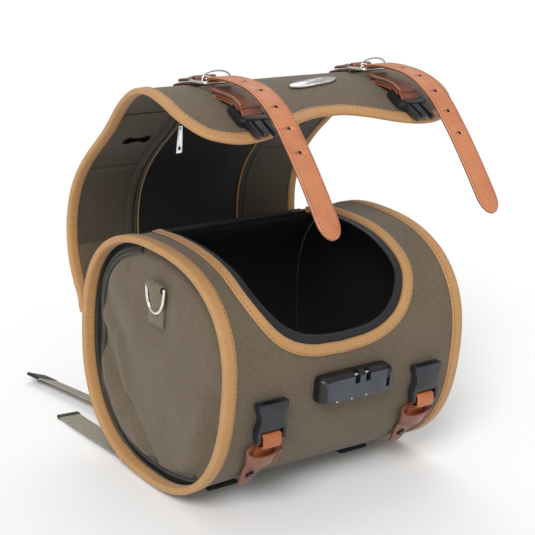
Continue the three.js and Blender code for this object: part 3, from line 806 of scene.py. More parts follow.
def make_opening_zip(path):
    """Zip tape sewn inside the opening, with one row of coil on its free edge."""
    start = np.argmin(np.linalg.norm(path - [OPENING_X + 0.0995, -0.03], axis=1))
    stop = np.argmin(np.linalg.norm(path - [OPENING_X - 0.0995, -0.03], axis=1))
    run = path[start : stop + 1]
    wave = soft_noise(run[:, 0], run[:, 1], 22, 3.1) * 0.0009
    profile = np.array([(-1.5, -3.2), (3, -3.3), (7.6, -3.0), (8.6, -2.6), (8.5, -1.9), (7.4, -2.0),
                        (3, -2.4), (-1.5, -2.3)]) * MM
    along = directions(run)
    run = run + np.stack([-along[:, 1], along[:, 0]], axis=1) * wave[:, None]
    tape = swept("opening_zip_tape", run, profile, skin, BLACK_TAPE)
    dress(tape, "root", "zip_tape", "opening_zip")
    dress(coil("opening_zip_coil", offset_path(run, 0.0086), skin, -0.0022, PLASTIC), "root", "zip_tape")


def coil(name, path, place, t, material, pitch=0.0017, wide=0.0026, high=0.0015):
    """A row of zip teeth along [x, s] points."""
    line, out = seam_line(path, place, t)
    run = run_along(line)
    count = int(run[-1] / pitch)
    at = (np.arange(count) + 0.5) * pitch
    middle = points_at(at, run, line)
    ahead = points_at(at + pitch / 2, run, line) - middle
    up = points_at(at, run, out)
    turn = np.linspace(0, 2 * math.pi, 8, endpoint=False)
    points, faces = [], []
    for c, a, n in zip(middle, ahead, up):
        a = a / np.linalg.norm(a)
        b = np.cross(n, a)
        for along, share in ((-0.42, 0.75), (0, 1), (0.42, 0.75)):
            ring = c + a * along * pitch + share * (
                np.cos(turn)[:, None] * b * wide / 2 + np.sin(turn)[:, None] * n * high / 2)
            points += list(ring)
        first = len(points) - 24
        faces += [tuple(first + k for k in f) for f in grid_faces(3, 8, wrap_columns=True)]
        faces += [tuple(range(first, first + 8)), tuple(range(first + 16, first + 24))]
    return mesh_object(name, points, faces, material)


# ---- ends: binding, pocket, zip, D-ring ----
END_PROFILE = np.array([(13.5, 0.2), (13.8, 0.6), (13.3, 1.05), (11.5, 1.25), (6, 1.6), (2.0, 1.75),
                        (0.6, 1.1), (0, -0.1), (-0.2, -2.0), (0.0, -3.9), (0.7, -5.2), (2.4, -5.8),
                        (8.5, -6.2), (11.5, -6.1), (11.7, -5.4), (4.6, -4.4), (3.2, -2.2), (4.6, -0.2)]) * MM


def make_end(side):
    word = SIDE_WORD[side]
    arcs = np.arange(260) * GIRTH / 260
    wobble = np.array([noise.noise(Vector((math.cos(a), math.sin(a), side * 3)) * 2.2)
                       for a in arcs / GIRTH * 2 * math.pi]) * 0.0007
    e = END_PROFILE[None, :, 0] + wobble[:, None] * smooth(END_PROFILE[:, 0], 0.006, 0.013)
    rings = skin(side * (HALF_LENGTH - e), arcs[:, None], np.broadcast_to(END_PROFILE[:, 1], e.shape))
    cloth = swept_cloth(arcs, END_PROFILE[:, 0])
    tape = tube(f"end_tape_{word}", rings, TAPE, closed=True, cloth=cloth)
    dress(tape, "root", "tan_binding", f"end_binding_{word}")
    sewn = []
    for e_at, t_at in ((0.0115, 0.0016), (0.0102, -0.0063)):
        x = np.full(260, side * (HALF_LENGTH - e_at))
        path = skin(x, arcs, t_at)
        out = skin(x, arcs, t_at + (0.001 if t_at > 0 else -0.001)) - path
        sewn.append((np.vstack([path, path[:1]]), np.vstack([out, out[:1]]) / 0.001))
    dress(stitches(f"end_stitches_{word}", sewn, TAN_THREAD), "root", "tan_binding")
    make_tape_joint(side, word)
    make_pocket(side, word)
    make_ring(side, word)


def make_tape_joint(side, word):
    """Where the end of the tape laps over its start."""
    at = GIRTH * (0.5 + 0.055)
    arcs = np.linspace(at - 0.007, at + 0.007, 8)
    grow = END_PROFILE + np.array([0, 0.0005]) * np.sign(END_PROFILE[:, 1:] + 0.002)
    grow[:, 0] -= 0.0004 * (END_PROFILE[:, 0] < 0.006)
    slant = np.linspace(-0.004, 0.004, len(grow))
    rings = [skin(side * (HALF_LENGTH - grow[:, 0]), s + slant, grow[:, 1]) for s in arcs]
    cloth = swept_cloth(arcs, grow[:, 0])
    dress(tube(f"end_tape_joint_{word}", rings, TAPE, cloth=cloth), "root", "tan_binding")


def pocket_edge(arc):
    """How far in from the roll's skin the pocket is sewn: deeper along its zip and at its pinch."""
    u = arc / GIRTH % 1
    zip_part = smooth(u, 0.36, 0.46) * (1 - smooth(u, 0.93, 0.99))
    pinch = np.exp(-(((u - 0.745) / 0.040) ** 2)) - 0.45 * np.exp(-(((u - 0.655) / 0.030) ** 2))
    # Along this gap the pocket's edge stands back and shows the black end panel, painted shade.
    gap = smooth(u, 0.19, 0.24) * (1 - smooth(u, 0.31, 0.36))
    return 0.0062 + zip_part * (0.0070 + 0.0070 * pinch) + 0.0040 * gap


def disc_grid(step, edge):
    """A square grid of [y, z] points clipped to the roll's section, its rim on the pocket's edge."""
    arcs = np.linspace(0, GIRTH, 400, endpoint=False)
    outline = skin(0, arcs, -edge(arcs))[:, 1:]
    low, high = outline.min(0) - step, outline.max(0) + step
    ys = np.arange(low[0], high[0], step)
    zs = np.arange(low[1], high[1], step)
    y, z = np.meshgrid(ys, zs, indexing="ij")
    keep = inside(np.stack([y[:-1, :-1] + step / 2, z[:-1, :-1] + step / 2], -1), outline)
    columns = len(zs)
    faces = [(i * columns + j, (i + 1) * columns + j, (i + 1) * columns + j + 1, i * columns + j + 1)
             for i, j in zip(*np.nonzero(keep))]
    flat = np.stack([y, z], -1).reshape(-1, 2)
    used = np.bincount(np.array(faces).ravel(), minlength=len(flat))
    rim = (used > 0) & (used < 4)
    for k in np.nonzero(rim)[0]:
        flat[k] = outline[np.argmin(np.linalg.norm(outline - flat[k], axis=1))]
    chosen = np.nonzero(used)[0]
    index = -np.ones(len(flat), int)
    index[chosen] = np.arange(len(chosen))
    return flat[chosen], [tuple(index[k] for k in f) for f in faces], rim[chosen]


POCKET_SEAM = HALF_LENGTH - 0.0152
POCKET_FOLDS = (  # from y, z to y, z about the roll's middle; width; height
    (0.104, -0.002, 0.050, -0.066, 0.0085, -0.0110),
    (0.082, -0.050, 0.046, -0.100, 0.0120, 0.0050),
    (0.066, 0.004, 0.024, -0.094, 0.0080, 0.0046),
    (0.046, -0.056, -0.002, -0.104, 0.0065, -0.0090),
    (0.106, 0.040, 0.060, 0.010, 0.0120, -0.0056),
    (0.090, 0.066, 0.036, 0.040, 0.0120, 0.0030),
    (-0.104, -0.006, -0.094, -0.062, 0.0110, -0.0088),
    (-0.082, -0.030, -0.056, -0.086, 0.0120, 0.0034),
    (0.055, 0.088, -0.020, 0.094, 0.0100, -0.0036),
)


def pocket_slack(y, z, side):
    """How far the loose cloth stands out of its seam, with the folds that run in from its zip."""
    reach = np.clip(1 - (y / 0.115) ** 2 - (z / 0.112) ** 2, 0, 1)
    out = 0.0092 * reach ** 0.35
    for y0, z0, y1, z1, wide, height in POCKET_FOLDS:
        dy, dz = y1 - y0, z1 - z0
        k = np.clip(((y - y0) * dy + (z - z0) * dz) / (dy * dy + dz * dz), 0, 1)
        gap = np.hypot(y - y0 - k * dy, z - z0 - k * dz)
        out += height * np.exp(-((gap / wide) ** 2)) * (1 - 0.45 * k)
    out += 0.0012 * soft_noise(y, z, 30, side * 5.0)
    return out * smooth(reach, 0, 0.10)


def make_pocket(side, word):
    """A slack canvas pocket, filled a little and hanging in its rim."""
    flat, faces, rim = disc_grid(0.0036, pocket_edge)
    points = np.stack([np.full(len(flat), side * POCKET_SEAM), flat[:, 0], flat[:, 1]], -1)
    piece = mesh_object(f"end_pocket_cloth_{word}", points, faces, CANVAS, flat)
    if (sum((p.normal.x for p in piece.data.polygons)) * side) < 0:
        piece.data.flip_normals()
    simulate_pocket(piece, rim)
    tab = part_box(f"d_ring_tab_{word}")
    under_tab = min(abs(tab[0].x), abs(tab[1].x)) - 0.0004
    co = np.array([v.co for v in piece.data.vertices])
    slack = pocket_slack(flat[:, 0], flat[:, 1] - CENTRE_Z, side)
    reach = np.clip(co[:, 0] * side, POCKET_SEAM - 0.001, POCKET_SEAM + 0.002) + np.where(rim, 0, slack)
    past = np.hypot(np.maximum(np.abs(flat[:, 0] + 0.001) - 0.015, 0),
                    np.maximum(np.abs(flat[:, 1] - 0.189) - 0.023, 0))
    most = under_tab + 0.0060 * smooth(past, 0, 0.034)
    reach = reach - 0.0010 * np.logaddexp(0, (reach - most) / 0.0010)
    reach = np.where(rim, POCKET_SEAM, np.maximum(reach, POCKET_SEAM - 0.0006))
    for vertex, x, (y, z) in zip(piece.data.vertices, reach, co[:, 1:]):
        vertex.co = (side * x, y, z)
    piece = finished(piece, ("SMOOTH", {"factor": 0.5, "iterations": 1}), ("SUBSURF", {"levels": 1}),
                     ("SOLIDIFY", {"thickness": 0.0012, "offset": -1}))
    for polygon in piece.data.polygons:
        polygon.use_smooth = True
    dress(piece, "root", "canvas", f"end_pocket_{word}")
    make_end_zip(side, word)
    # The end panel behind the pocket is dressed in the black lining so that the gap round the pocket's edge
    # shows dark: painted shade in that gap.
    panel = from_cad(f"end_shade_board_{word}", f"end_panel_{word}", LINING, "lining", 0.0004)
    cloth = np.array([v.co for v in panel.data.vertices], np.float32)[:, [1, 2, 0]]
    panel.data.attributes.new("cloth", "FLOAT_VECTOR", "POINT").data.foreach_set("vector", cloth.ravel())


def simulate_pocket(piece, rim):
    """Cloth pinned at its seam, grown a little, pushed out softly and pulled down by its own weight."""
    group = piece.vertex_groups.new(name="sewn")
    group.add([int(k) for k in np.nonzero(rim)[0]], 1.0, "REPLACE")
    modifier = piece.modifiers.new("cloth", "CLOTH")
    settings = modifier.settings
    settings.quality = 6
    settings.mass = 0.35
    settings.tension_stiffness = 18
    settings.compression_stiffness = 18
    settings.shear_stiffness = 6
    settings.bending_stiffness = 0.6
    settings.vertex_group_mass = "sewn"
    settings.shrink_min = -0.02
    settings.use_pressure = True
    settings.uniform_pressure_force = 0.25
    settings.effector_weights.gravity = 0.35
    modifier.collision_settings.use_self_collision = False
    modifier.collision_settings.use_collision = False
    scene = bpy.context.scene
    modifier.point_cache.frame_start = 1
    modifier.point_cache.frame_end = 30
    for step in range(1, 31):
        scene.frame_set(step)
    graph = bpy.context.evaluated_depsgraph_get()
    mesh = bpy.data.meshes.new_from_object(piece.evaluated_get(graph), depsgraph=graph)
    piece.modifiers.clear()
    piece.vertex_groups.clear()
    piece.data = mesh
    scene.frame_set(1)


def make_end_zip(side, word):
    """Olive zip round the pocket's back and bottom, along its edge."""
    arcs = np.linspace(0.40, 0.95, 190) * GIRTH
    x = side * (POCKET_SEAM + 0.0022)
    profile = np.array([(-1.4, 2.2), (0.2, 1.2), (1.0, -0.8), (1.3, -3.2), (0.9, -5.6), (-0.9, -5.9),
                        (-1.0, -3.2), (-1.6, -0.8)]) * MM
    rings = [skin(x + side * profile[:, 0], s, profile[:, 1] - pocket_edge(s)) for s in arcs]
    cloth = swept_cloth(arcs, profile[:, 1])
    tape = tube(f"end_zip_tape_{word}", rings, ZIP_TAPE, cloth=cloth)
    dress(tape, "root", "zip_tape", f"end_zip_{word}")
    path = np.stack([np.full(190, x + side * 0.0011), arcs], -1)

    def across(px, s, t):
        return skin(px + side * t, s, -0.0024 - pocket_edge(s))

    dress(coil(f"end_zip_coil_{word}", path, across, 0.0002, PLASTIC), "root", "zip_tape")


def make_ring(side, word):
    """D-ring in a folded webbing tab."""
    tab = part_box(f"d_ring_tab_{word}")
    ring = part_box(f"d_ring_{word}")
    bar_x = (ring[0].x + ring[1].x) / 2
    bar = np.array([bar_x, (ring[0].y + ring[1].y) / 2, ring[1].z - 0.0016])
    half = (ring[1].y - ring[0].y) / 2 - 0.0016
    drop = ring[1].z - ring[0].z - 0.0032
    path = [bar + [0, y, 0] for y in np.linspace(-half * 0.86, half * 0.86, 9)]
    for a in np.linspace(0, math.pi, 40):
        path.append(bar + [0, half * math.cos(a),
                           -drop * abs(math.sin(a)) ** 0.75 if 0 < a < math.pi else -0.0006])
    dress(wire(f"d_ring_wire_{word}", resample(path, 90, closed=True), 0.0017, CHROME, closed=True),
          "d_ring_" + word, "chrome_wire", f"d_ring_{word}")
    inner = 0.0024
    face_x = side * (abs(tab[0].x if side > 0 else tab[1].x) + 0.0002)
    low = tab[0].z
    strap_line = [(face_x + side * 0.0012, low), (face_x + side * 0.0012, bar[2] - 0.012)]
    strap_line += [(bar_x + side * (inner + 0.0009) * math.sin(a), bar[2] - (inner + 0.0009) * math.cos(a))
                   for a in np.linspace(-1.3, -math.pi * 2 + 0.9, 30)]
    strap_line += [(face_x + side * 0.0029, bar[2] - 0.011), (face_x + side * 0.0028, low + 0.003)]
    centre = resample(np.array(strap_line), 70)
    ribbon(f"d_ring_webbing_{word}", centre, (tab[0].y, tab[1].y), 0.0014, WEBBING_TAB)
    dress(bpy.data.objects[f"d_ring_webbing_{word}"], "root", "webbing", f"d_ring_tab_{word}")


WEBBING_TAB = woven("tab_webbing", srgb(128, 117, 98), srgb(84, 75, 60), pitch=(0.0016, 0.0022),
                    streak=(300, 600), relief=0.0004)


def ribbon(name, centre, span, thick, material):
    """A band of cloth along [x, z] points, spread between two y values, with rounded edges."""
    along = directions(centre)
    out = np.stack([-along[:, 1], along[:, 0]], -1)
    y0, y1 = span
    edge = thick / 2
    section = [(y0 + edge, 1), (y0, 0), (y0 + edge, -1), (y1 - edge, -1), (y1, 0), (y1 - edge, 1)]
    rings, cloth = [], []
    run = run_along(centre)
    for (x, z), (nx, nz), r in zip(centre, out, run):
        rings.append([(x + nx * k * edge, y, z + nz * k * edge) for y, k in section])
        cloth.append([(r, y) for y, _ in section])
    return tube(name, rings, material, cloth=np.array(cloth), sharp=60)


# ---- lid ----
LID_HALF_OUTLINE = [(150, 21.5), (151.5, 46), (155, 80), (161, 116), (166.5, 152), (166, 185), (152, 212),
                    (128, 224), (103, 226), (76, 221), (44, 210), (20, 204), (0, 203)]
LID_BACK_S = -0.192


def lid_front_edge(count=321):
    """The front leaf's edge from its left end at the fold, round the front, to the right."""
    half = spline(np.array(LID_HALF_OUTLINE) * MM, (count + 1) // 2, power=0)
    return np.vstack([half * [-1, 1], half[-2::-1]])


def lid_surface(name, inset, low, high, material, first_s, columns=112, rows=(40, 52)):
    """The lid's cover between two heights: a straight back part, then strips fanned out to the front edge."""
    edge = offset_path(resample(lid_front_edge(), columns), -inset)
    edge[:, 1] = np.maximum(edge[:, 1], FOLD_S + 0.002)
    base = np.linspace(-HALF_LENGTH + inset, HALF_LENGTH - inset, columns)
    x = [np.broadcast_to(base, (rows[0], columns))]
    s = [np.broadcast_to(np.linspace(first_s, FOLD_S, rows[0])[:, None], (rows[0], columns))]
    share = np.linspace(0, 1, rows[1] + 1)[1:, None]
    x.append(base * (1 - share) + edge[:, 0] * share)
    s.append(FOLD_S * (1 - share) + edge[:, 1] * share)
    x, s = np.vstack(x), np.vstack(s)
    wave = 0.0007 * soft_noise(x, s, 13, 5.5) * smooth(HALF_LENGTH - np.abs(x), 0.004, 0.03)

    def place(u, v, t):
        return lid(u, v, t + wave)

    top, bottom = place(x, s, high), place(x, s, low)
    count = x.size
    faces = grid_faces(*x.shape)
    faces += [tuple(count + k for k in reversed(f)) for f in grid_faces(*x.shape)]
    rim = list(range(columns)) + [i * columns + columns - 1 for i in range(1, x.shape[0])]
    rim += [(x.shape[0] - 1) * columns + j for j in range(columns - 2, -1, -1)]
    rim += [i * columns for i in range(x.shape[0] - 2, 0, -1)]
    for a, b in zip(rim, rim[1:] + rim[:1]):
        faces.append((a, b, count + b, count + a))
    flat = np.stack([x, s], -1).reshape(-1, 2)
    piece = mesh_object(name, np.vstack([top.reshape(-1, 3), bottom.reshape(-1, 3)]), faces, material,
                        np.vstack([flat, flat]))
    # The underside faces take the darker underside canvas, which holds painted shade.
    piece.data.materials.append(CANVAS_BACK_AND_SHADE)
    under = (x.shape[0] - 1) * (columns - 1)
    for polygon in piece.data.polygons:
        polygon.material_index = int(under <= polygon.index < 2 * under)
    return piece


LID_TAPE = np.array([(-10.9, 8.05), (-11.2, 8.35), (-10.9, 8.75), (-9.2, 8.95), (-5, 9.15), (-1.8, 9.0),
                     (-0.5, 8.2), (0, 6.3), (-0.4, 4.2), (-1.6, 3.2), (-5, 2.95), (-9.2, 3.1), (-10.9, 3.3),
                     (-11.2, 3.6), (-10.9, 3.95), (-4, 4.2), (-2.8, 6), (-4, 7.8)]) * MM


def make_lid():
    cover = lid_surface("lid_cover", 0.0035, LID_T - LID_HALF_THICK, LID_T + LID_HALF_THICK, CANVAS,
                        LID_SEAM_S)
    over_fold(cover, "canvas", "lid_front_panel", "lid_back_panel")
    xs = np.linspace(-0.1465, 0.1465, 60)
    ss = np.linspace(LID_BACK_S, LID_SEAM_S, 44)

    def low_place(u, v, t):
        return lid(u, v, t - 0.0028 * (1 - smooth(v, LID_BACK_S, HINGE_LOW + 0.006)))

    back = slab("lid_hinge_cloth", lambda u, v, t: low_place(v, u, t), ss, xs, LID_T - LID_HALF_THICK,
                LID_T + LID_HALF_THICK, CANVAS)
    over_hinge(back, "canvas", "hinge_strip")

    edge = lid_front_edge()
    up = np.stack([np.full(60, -HALF_LENGTH), np.linspace(LID_SEAM_S, edge[0, 1] - 0.002, 60)], -1)
    path = resample(np.vstack([up, edge, (up * [-1, 1])[::-1]]), 460)
    tape = swept("lid_tape", path, LID_TAPE, lid, TAPE)
    over_fold(tape, "tan_binding", "lid_front_edge", "lid_back_edge_left", "lid_back_edge_right")
    sewn = [seam_line(offset_path(path, -0.0094), lid, t) for t in (LID_T + 0.00305, LID_T - 0.003)]
    sewn[1] = (sewn[1][0], -sewn[1][1])
    over_fold(stitches("lid_tape_stitches", sewn, TAN_THREAD), "tan_binding")
    for side in (-1, 1):
        word = SIDE_WORD[side]
        run = np.stack([np.full(34, side * HALF_LENGTH), np.linspace(LID_BACK_S, LID_SEAM_S, 34)], -1)
        piece = swept(f"lid_hinge_tape_{word}", run if side < 0 else run[::-1], LID_TAPE, low_place, TAPE)
        over_hinge(piece, "tan_binding")
    seam = slab("lid_cross_seam", lambda u, v, t: lid(v, u, t),
                np.linspace(LID_SEAM_S - 0.008, LID_SEAM_S + 0.002, 5),
                np.linspace(-CROSS_SEAM_HALF, CROSS_SEAM_HALF, 60), LID_T + 0.0019, LID_T + 0.0031, CANVAS)
    dress(seam, "lid_back", "canvas")
    make_lid_lining()


PANEL_HALF = [(79.5, -160), (79.5, -100), (79.5, 20), (79, 64), (74, 92), (60, 119), (38, 134), (0.5, 140)]


def make_lid_lining():
    """The black panel under the lid, with its zip tape round it."""
    half = spline(np.array(PANEL_HALF) * MM, 200)
    side = offset_path(half, 0.0125)
    side[:, 0] = np.maximum(side[:, 0], 0.0005)
    us = np.linspace(-1, 1, 48)
    x = side[:, :1] * us
    s = np.broadcast_to(side[:, 1:], x.shape)
    puff = 0.0006 * soft_noise(x, s, 18, 2.2)
    top, bottom = lid(x, s, 0.0040), lid(x, s, 0.0026 + puff)
    count = x.size
    faces = grid_faces(*x.shape) + [tuple(count + k for k in reversed(f)) for f in grid_faces(*x.shape)]
    for column in (0, 47):
        for i in range(x.shape[0] - 1):
            a, b = i * 48 + column, (i + 1) * 48 + column
            faces.append((a, b, count + b, count + a))
    flat = np.stack([x, s], -1).reshape(-1, 2)
    piece = mesh_object("lid_lining", np.vstack([top.reshape(-1, 3), bottom.reshape(-1, 3)]), faces, LINING,
                        np.vstack([flat, flat]))
    over_fold(piece, "lining", "lid_back_lining", "lid_front_lining")
    path = resample(np.vstack([half * [-1, 1], half[-2::-1]]), 320)
    profile = np.array([(-13.4, 2.9), (-13.0, 1.5), (-9.8, 0.9), (-7.4, 1.0), (-6.7, 1.4), (-6.0, 1.0),
                        (-3, 0.9), (-0.4, 1.6), (0.2, 3.6), (-0.4, 4.2), (-12.6, 4.1)]) * MM
    zip_piece = swept("lid_zip_tape", path, profile, lid, ZIP_TAPE)
    over_fold(zip_piece, "zip_tape")
    teeth = coil("lid_zip_coil", offset_path(path, -0.0067), lid, 0.0011, PLASTIC)
    over_fold(teeth, "zip_tape")
    pipe = np.array([(-14.8, 2.4), (-14.5, 1.6), (-13.8, 1.3), (-13.1, 1.6), (-12.8, 2.4), (-13.1, 3.2),
                     (-14.5, 3.2)]) * MM
    over_fold(swept("lid_piping", path, pipe, lid, TAPE), "tan_binding")
    make_underside()


BACK_RIVETS = (0.114, 0.093)  # x of the strap rivets' backs, under the lid
BACK_RIVET_S = 0.006


def make_underside():
    """Sewn seams across the canvas margins under the lid, and the backs of the strap rivets."""
    for side in (-1, 1):
        word = SIDE_WORD[side]
        folds = []
        for k, s in enumerate((0.052, -0.040)):
            inner = side * 0.081
            xs = np.linspace(inner, side * 0.139, 16)

            def place(u, v, t, s=s):
                return lid(v, s + u, t)

            def flat(u, v, s=s):
                return np.stack([v, u + s], -1)

            # The fold strips take the darker underside canvas with its painted shade, not the lighter face
            # canvas.
            fold = slab(f"lid_margin_fold_{word}_{k}", place, np.linspace(-0.008, 0.001, 5), xs,
                        LID_T - 0.0031, LID_T - 0.0017, CANVAS_BACK_AND_SHADE, cloth=flat)
            folds.append(fold)
        dress(folds[0], "lid_front", "canvas")
        over_fold(folds[1], "canvas")
        heads = []
        for x in BACK_RIVETS:
            heads.append(rivet(f"back_{x}", lid(side * x, BACK_RIVET_S, LID_T - 0.0016),
                               lid(side * x, BACK_RIVET_S, LID_T - 0.003), 0.0055, 0.0020, BLACK_METAL))
        bar = slab("bar", lambda u, v, t: lid(v, BACK_RIVET_S + u, t), np.linspace(-0.0028, 0.0028, 3),
                   np.linspace(side * BACK_RIVETS[1], side * BACK_RIVETS[0], 5), LID_T - 0.0027,
                   LID_T - 0.0017, BLACK_METAL)
        over_fold(joined(f"strap_rivet_backs_{word}", heads + [bar]), "dark_steel")


def rivet(name, seat, ahead, radius, height, material):
    """A domed head standing on its seat."""
    axis = np.asarray(ahead, float) - seat
    axis /= np.linalg.norm(axis)
    across = np.cross(axis, [1, 0, 0])
    across /= np.linalg.norm(across)
    other = np.cross(axis, across)
    shape = [(0.05, 0.0), (0.86, 0.0), (1, 0.12), (1, 0.38), (0.93, 0.58), (0.8, 0.66), (0.72, 0.64),
             (0.62, 0.74), (0.4, 0.93), (0.05, 1.0)]
    turn = np.linspace(0, 2 * math.pi, 28, endpoint=False)[:, None]
    round_axis = np.cos(turn) * across + np.sin(turn) * other
    rings = [seat + r * radius * round_axis + h * height * axis for r, h in shape]
    return tube(name, rings, material, sharp=60)


# ---- leather ----
def leather_band(name, centre, half_widths, x, thick, material, edge_material=LEATHER_EDGE, place=None):
    """A strap along [y, z] points, with softly rounded edges and a half width for each point."""
    centre = np.asarray(centre, float)
    along = directions(centre)
    out = np.stack([along[:, 1], -along[:, 0]], -1)
    edge = thick / 2
    shape = [(-1, -0.45), (-1, 0.45), (-0.97, 0.85), (-0.9, 1), (0, 1), (0.9, 1), (0.97, 0.85), (1, 0.45),
             (1, -0.45), (0.97, -0.85), (0.9, -1), (0, -1), (-0.9, -1), (-0.97, -0.85)]
    rings = []
    for (y, z), (ny, nz), half in zip(centre, out, half_widths):
        ring = []
        for a, b in shape:
            across = math.copysign(half - (1 - abs(a)) * 12 * MM * min(1, half / (12 * MM)), a) if a else 0
            ring.append((x + across, y + ny * b * edge, z + nz * b * edge))
        rings.append(ring)
    rings = np.array(rings)
    if place:
        rings = place(rings)
    piece = tube(name, rings, material, sharp=60)
    piece.data.materials.append(edge_material)
    sides = len(shape)
    band = {0, 7}
    for polygon in piece.data.polygons:
        if polygon.index < (len(centre) - 1) * sides and polygon.index % sides in band:
            polygon.material_index = 1
        elif polygon.index >= (len(centre) - 1) * sides:
            polygon.material_index = 1
    return piece


def band_stitches(name, centre, half_widths, x, thick, span, material=PALE_THREAD, inset=0.0021, place=None,
                  both=True):
    """Two rows of stitches along a strap, on both faces."""
    keep = slice(*span)
    centre = np.asarray(centre, float)
    along = directions(centre)
    out = np.stack([along[:, 1], -along[:, 0]], -1)
    lines = []
    for face in ((-1, 1) if both else (1,)):
        for side in (-1, 1):
            path = np.column_stack([x + side * (np.asarray(half_widths) - inset),
                                    centre + out * face * thick * 0.5])[keep]
            normal = np.column_stack([np.zeros(len(centre)), out * face])[keep]
            if place:
                moved = place(path + normal * 0.001)
                path = place(path)
                normal = (moved - path) / 0.001
            lines.append((path, normal))
    return stitches(name, lines, material, pitch=0.0031, length=0.0020, radius=0.00034)


FREE_ROUTE = [(3.6, -0.6), (2.6, 2.9), (-1.5, 4.4), (-30, 7.5), (-62, 5), (-92, -9), (-116, -30), (-142, -57),
              (-180, -101)]
HOLES_FROM_TIP = (0.085, 0.110, 0.135, 0.160, 0.185)


def make_free_strap(side, word):
    x = side * STRAP_X
    bar = front_place(skin(x, 0.152, 0.017))
    route = spline(np.array(FREE_ROUTE) * MM + bar[1:], 240)
    run = run_along(route)
    left = run[-1] - run
    tip = np.clip(1 - left / 0.019, 0, 1)
    half = STRAP_HALF * np.sqrt(np.maximum(1.0 - tip ** 2.3, 0.012)) * (1 - 0.03 * tip)
    strap = leather_band(f"free_strap_{word}", route, half, x, LEATHER, STRAP_LEATHER)
    cutters = []
    for reach in HOLES_FROM_TIP:
        k = int(np.argmin(np.abs(left - reach)))
        centre = np.array([x, *route[k]])
        along = directions(route)[k]
        out = np.array([0, along[1], -along[0]])
        # The cutters give the holes' walls the darkened wall colour, painted shade.
        cutters.append(rivet("cutter", centre - out * 0.004, centre, 0.0018, 0.020, HOLE_WALL_SHADE))
    cutter = joined("strap_punch", cutters)
    strap = finished(strap, ("BOOLEAN", {"operation": "DIFFERENCE", "object": cutter, "solver": "EXACT",
                                        "material_mode": "TRANSFER"}))
    bpy.data.objects.remove(cutter)
    dress(strap, f"strap_{word}", "tan_leather", f"strap_free_{word}")
    stop = int(np.argmin(np.abs(left - 0.006)))
    sewn = band_stitches(f"free_strap_stitches_{word}", route, half, x, LEATHER, (14, stop), DARK_THREAD)
    dress(sewn, f"strap_{word}", "tan_leather")


def make_strap(side):
    word = SIDE_WORD[side]
    x = side * STRAP_X
    make_free_strap(side, word)
    top = LID_T + 0.0024
    rear = skin(x, 0.131, 0.0132)[1:]
    lay = [skin(0, s, top + LEATHER / 2)[1:] for s in np.linspace(0.092, 0.124, 12)]
    angle = np.linspace(-2.35, 1.9, 22)
    away = skin(x, 0.131, 0.0142)[1:] - rear
    away /= np.linalg.norm(away)
    ahead = np.array([away[1], -away[0]])
    if ahead @ (lay[-1] - lay[0]) < 0:
        ahead = -ahead
    eye = [rear + 0.0034 * (ahead * math.cos(a) + away * math.sin(a)) for a in angle]
    back = [skin(0, s, top + LEATHER * 1.55 + 0.0006)[1:] for s in np.linspace(0.1265, 0.104, 10)]
    tab = resample(np.vstack([lay, eye, back]), 110)
    half = np.full(110, 0.012)
    half[:12] = 0.012 * np.sqrt(np.linspace(0.25, 1, 12))
    half[-8:] = 0.012 * np.sqrt(np.linspace(1, 0.55, 8))
    band = leather_band(f"tab_{word}", tab, half, x, LEATHER * 0.9, LOOP_LEATHER, place=front_place)
    dress(band, "lid_front", "brown_leather", f"strap_tab_{word}")
    tab_top = resample(np.array(back)[::-1], 30)
    sewn = band_stitches(f"tab_stitches_{word}", tab_top[::-1], np.full(30, 0.012), x, LEATHER, (4, 26),
                         place=front_place, both=True)
    dress(sewn, "lid_front", "brown_leather")
    fixing = rivet(f"tab_rivet_{word}", front_place(skin(x, 0.113, top + 0.0052)),
                   front_place(skin(x, 0.113, top + 0.0062)), 0.0042, 0.0018, DARK_STEEL)
    dress(fixing, "lid_front", "dark_steel")
    make_frame(word, x)
    make_lower(word, x)


def make_frame(word, x):
    """The wire buckle with its prong, and a thin wire arch that keeps the strap down."""
    rear, front = skin(x, 0.131, 0.0132), skin(x, 0.152, 0.017)
    along = front - rear
    out = np.cross(along, [1, 0, 0])
    out /= np.linalg.norm(out)
    if out @ (skin(x, 0.14, 0.02) - skin(x, 0.14, 0.01)) < 0:
        out = -out

    def at(dx, k, lift=0.0):
        return rear + along * k + np.array([dx, 0, 0]) + out * lift

    corners = [(0, 0), (14.5, 0), (16.6, 0.06), (17, 0.18), (17, 0.84), (16.4, 0.96), (14, 1.0), (0, 1.0)]
    ring = [at(dx * MM, k) for dx, k in corners] + [at(-dx * MM, k) for dx, k in corners[-2:0:-1]]
    frame_wire = wire("frame", front_place(resample(ring, 150, closed=True)), 0.0017, CHROME, closed=True)
    arch = [at(16.2 * MM * math.cos(a), 0.80, 0.0008 + 0.0095 * max(math.sin(a), 0) ** 0.7)
            for a in np.linspace(0, math.pi, 36)]
    keeper = wire("keeper", front_place(arch), 0.0009, CHROME)
    dress(joined(f"buckle_wire_{word}", [frame_wire, keeper]), "lid_front", "chrome_wire",
          f"buckle_frame_{word}")
    prong = [at(0, 0.02, 0.0024), at(0, 0.2, 0.0026), at(0, 0.6, 0.0018), at(0, 0.82, 0.0006)]
    hook = [at(0, 0.16 * math.cos(a), 0.0030 * math.sin(a)) for a in np.linspace(-2.0, 1.4, 12)]
    tongue = wire(f"prong_{word}_wire", front_place(resample(np.vstack([hook, prong[1:]]), 40)), 0.0014,
                  CHROME)
    dress(tongue, f"prong_{word}", "chrome_wire", f"buckle_prong_{word}")


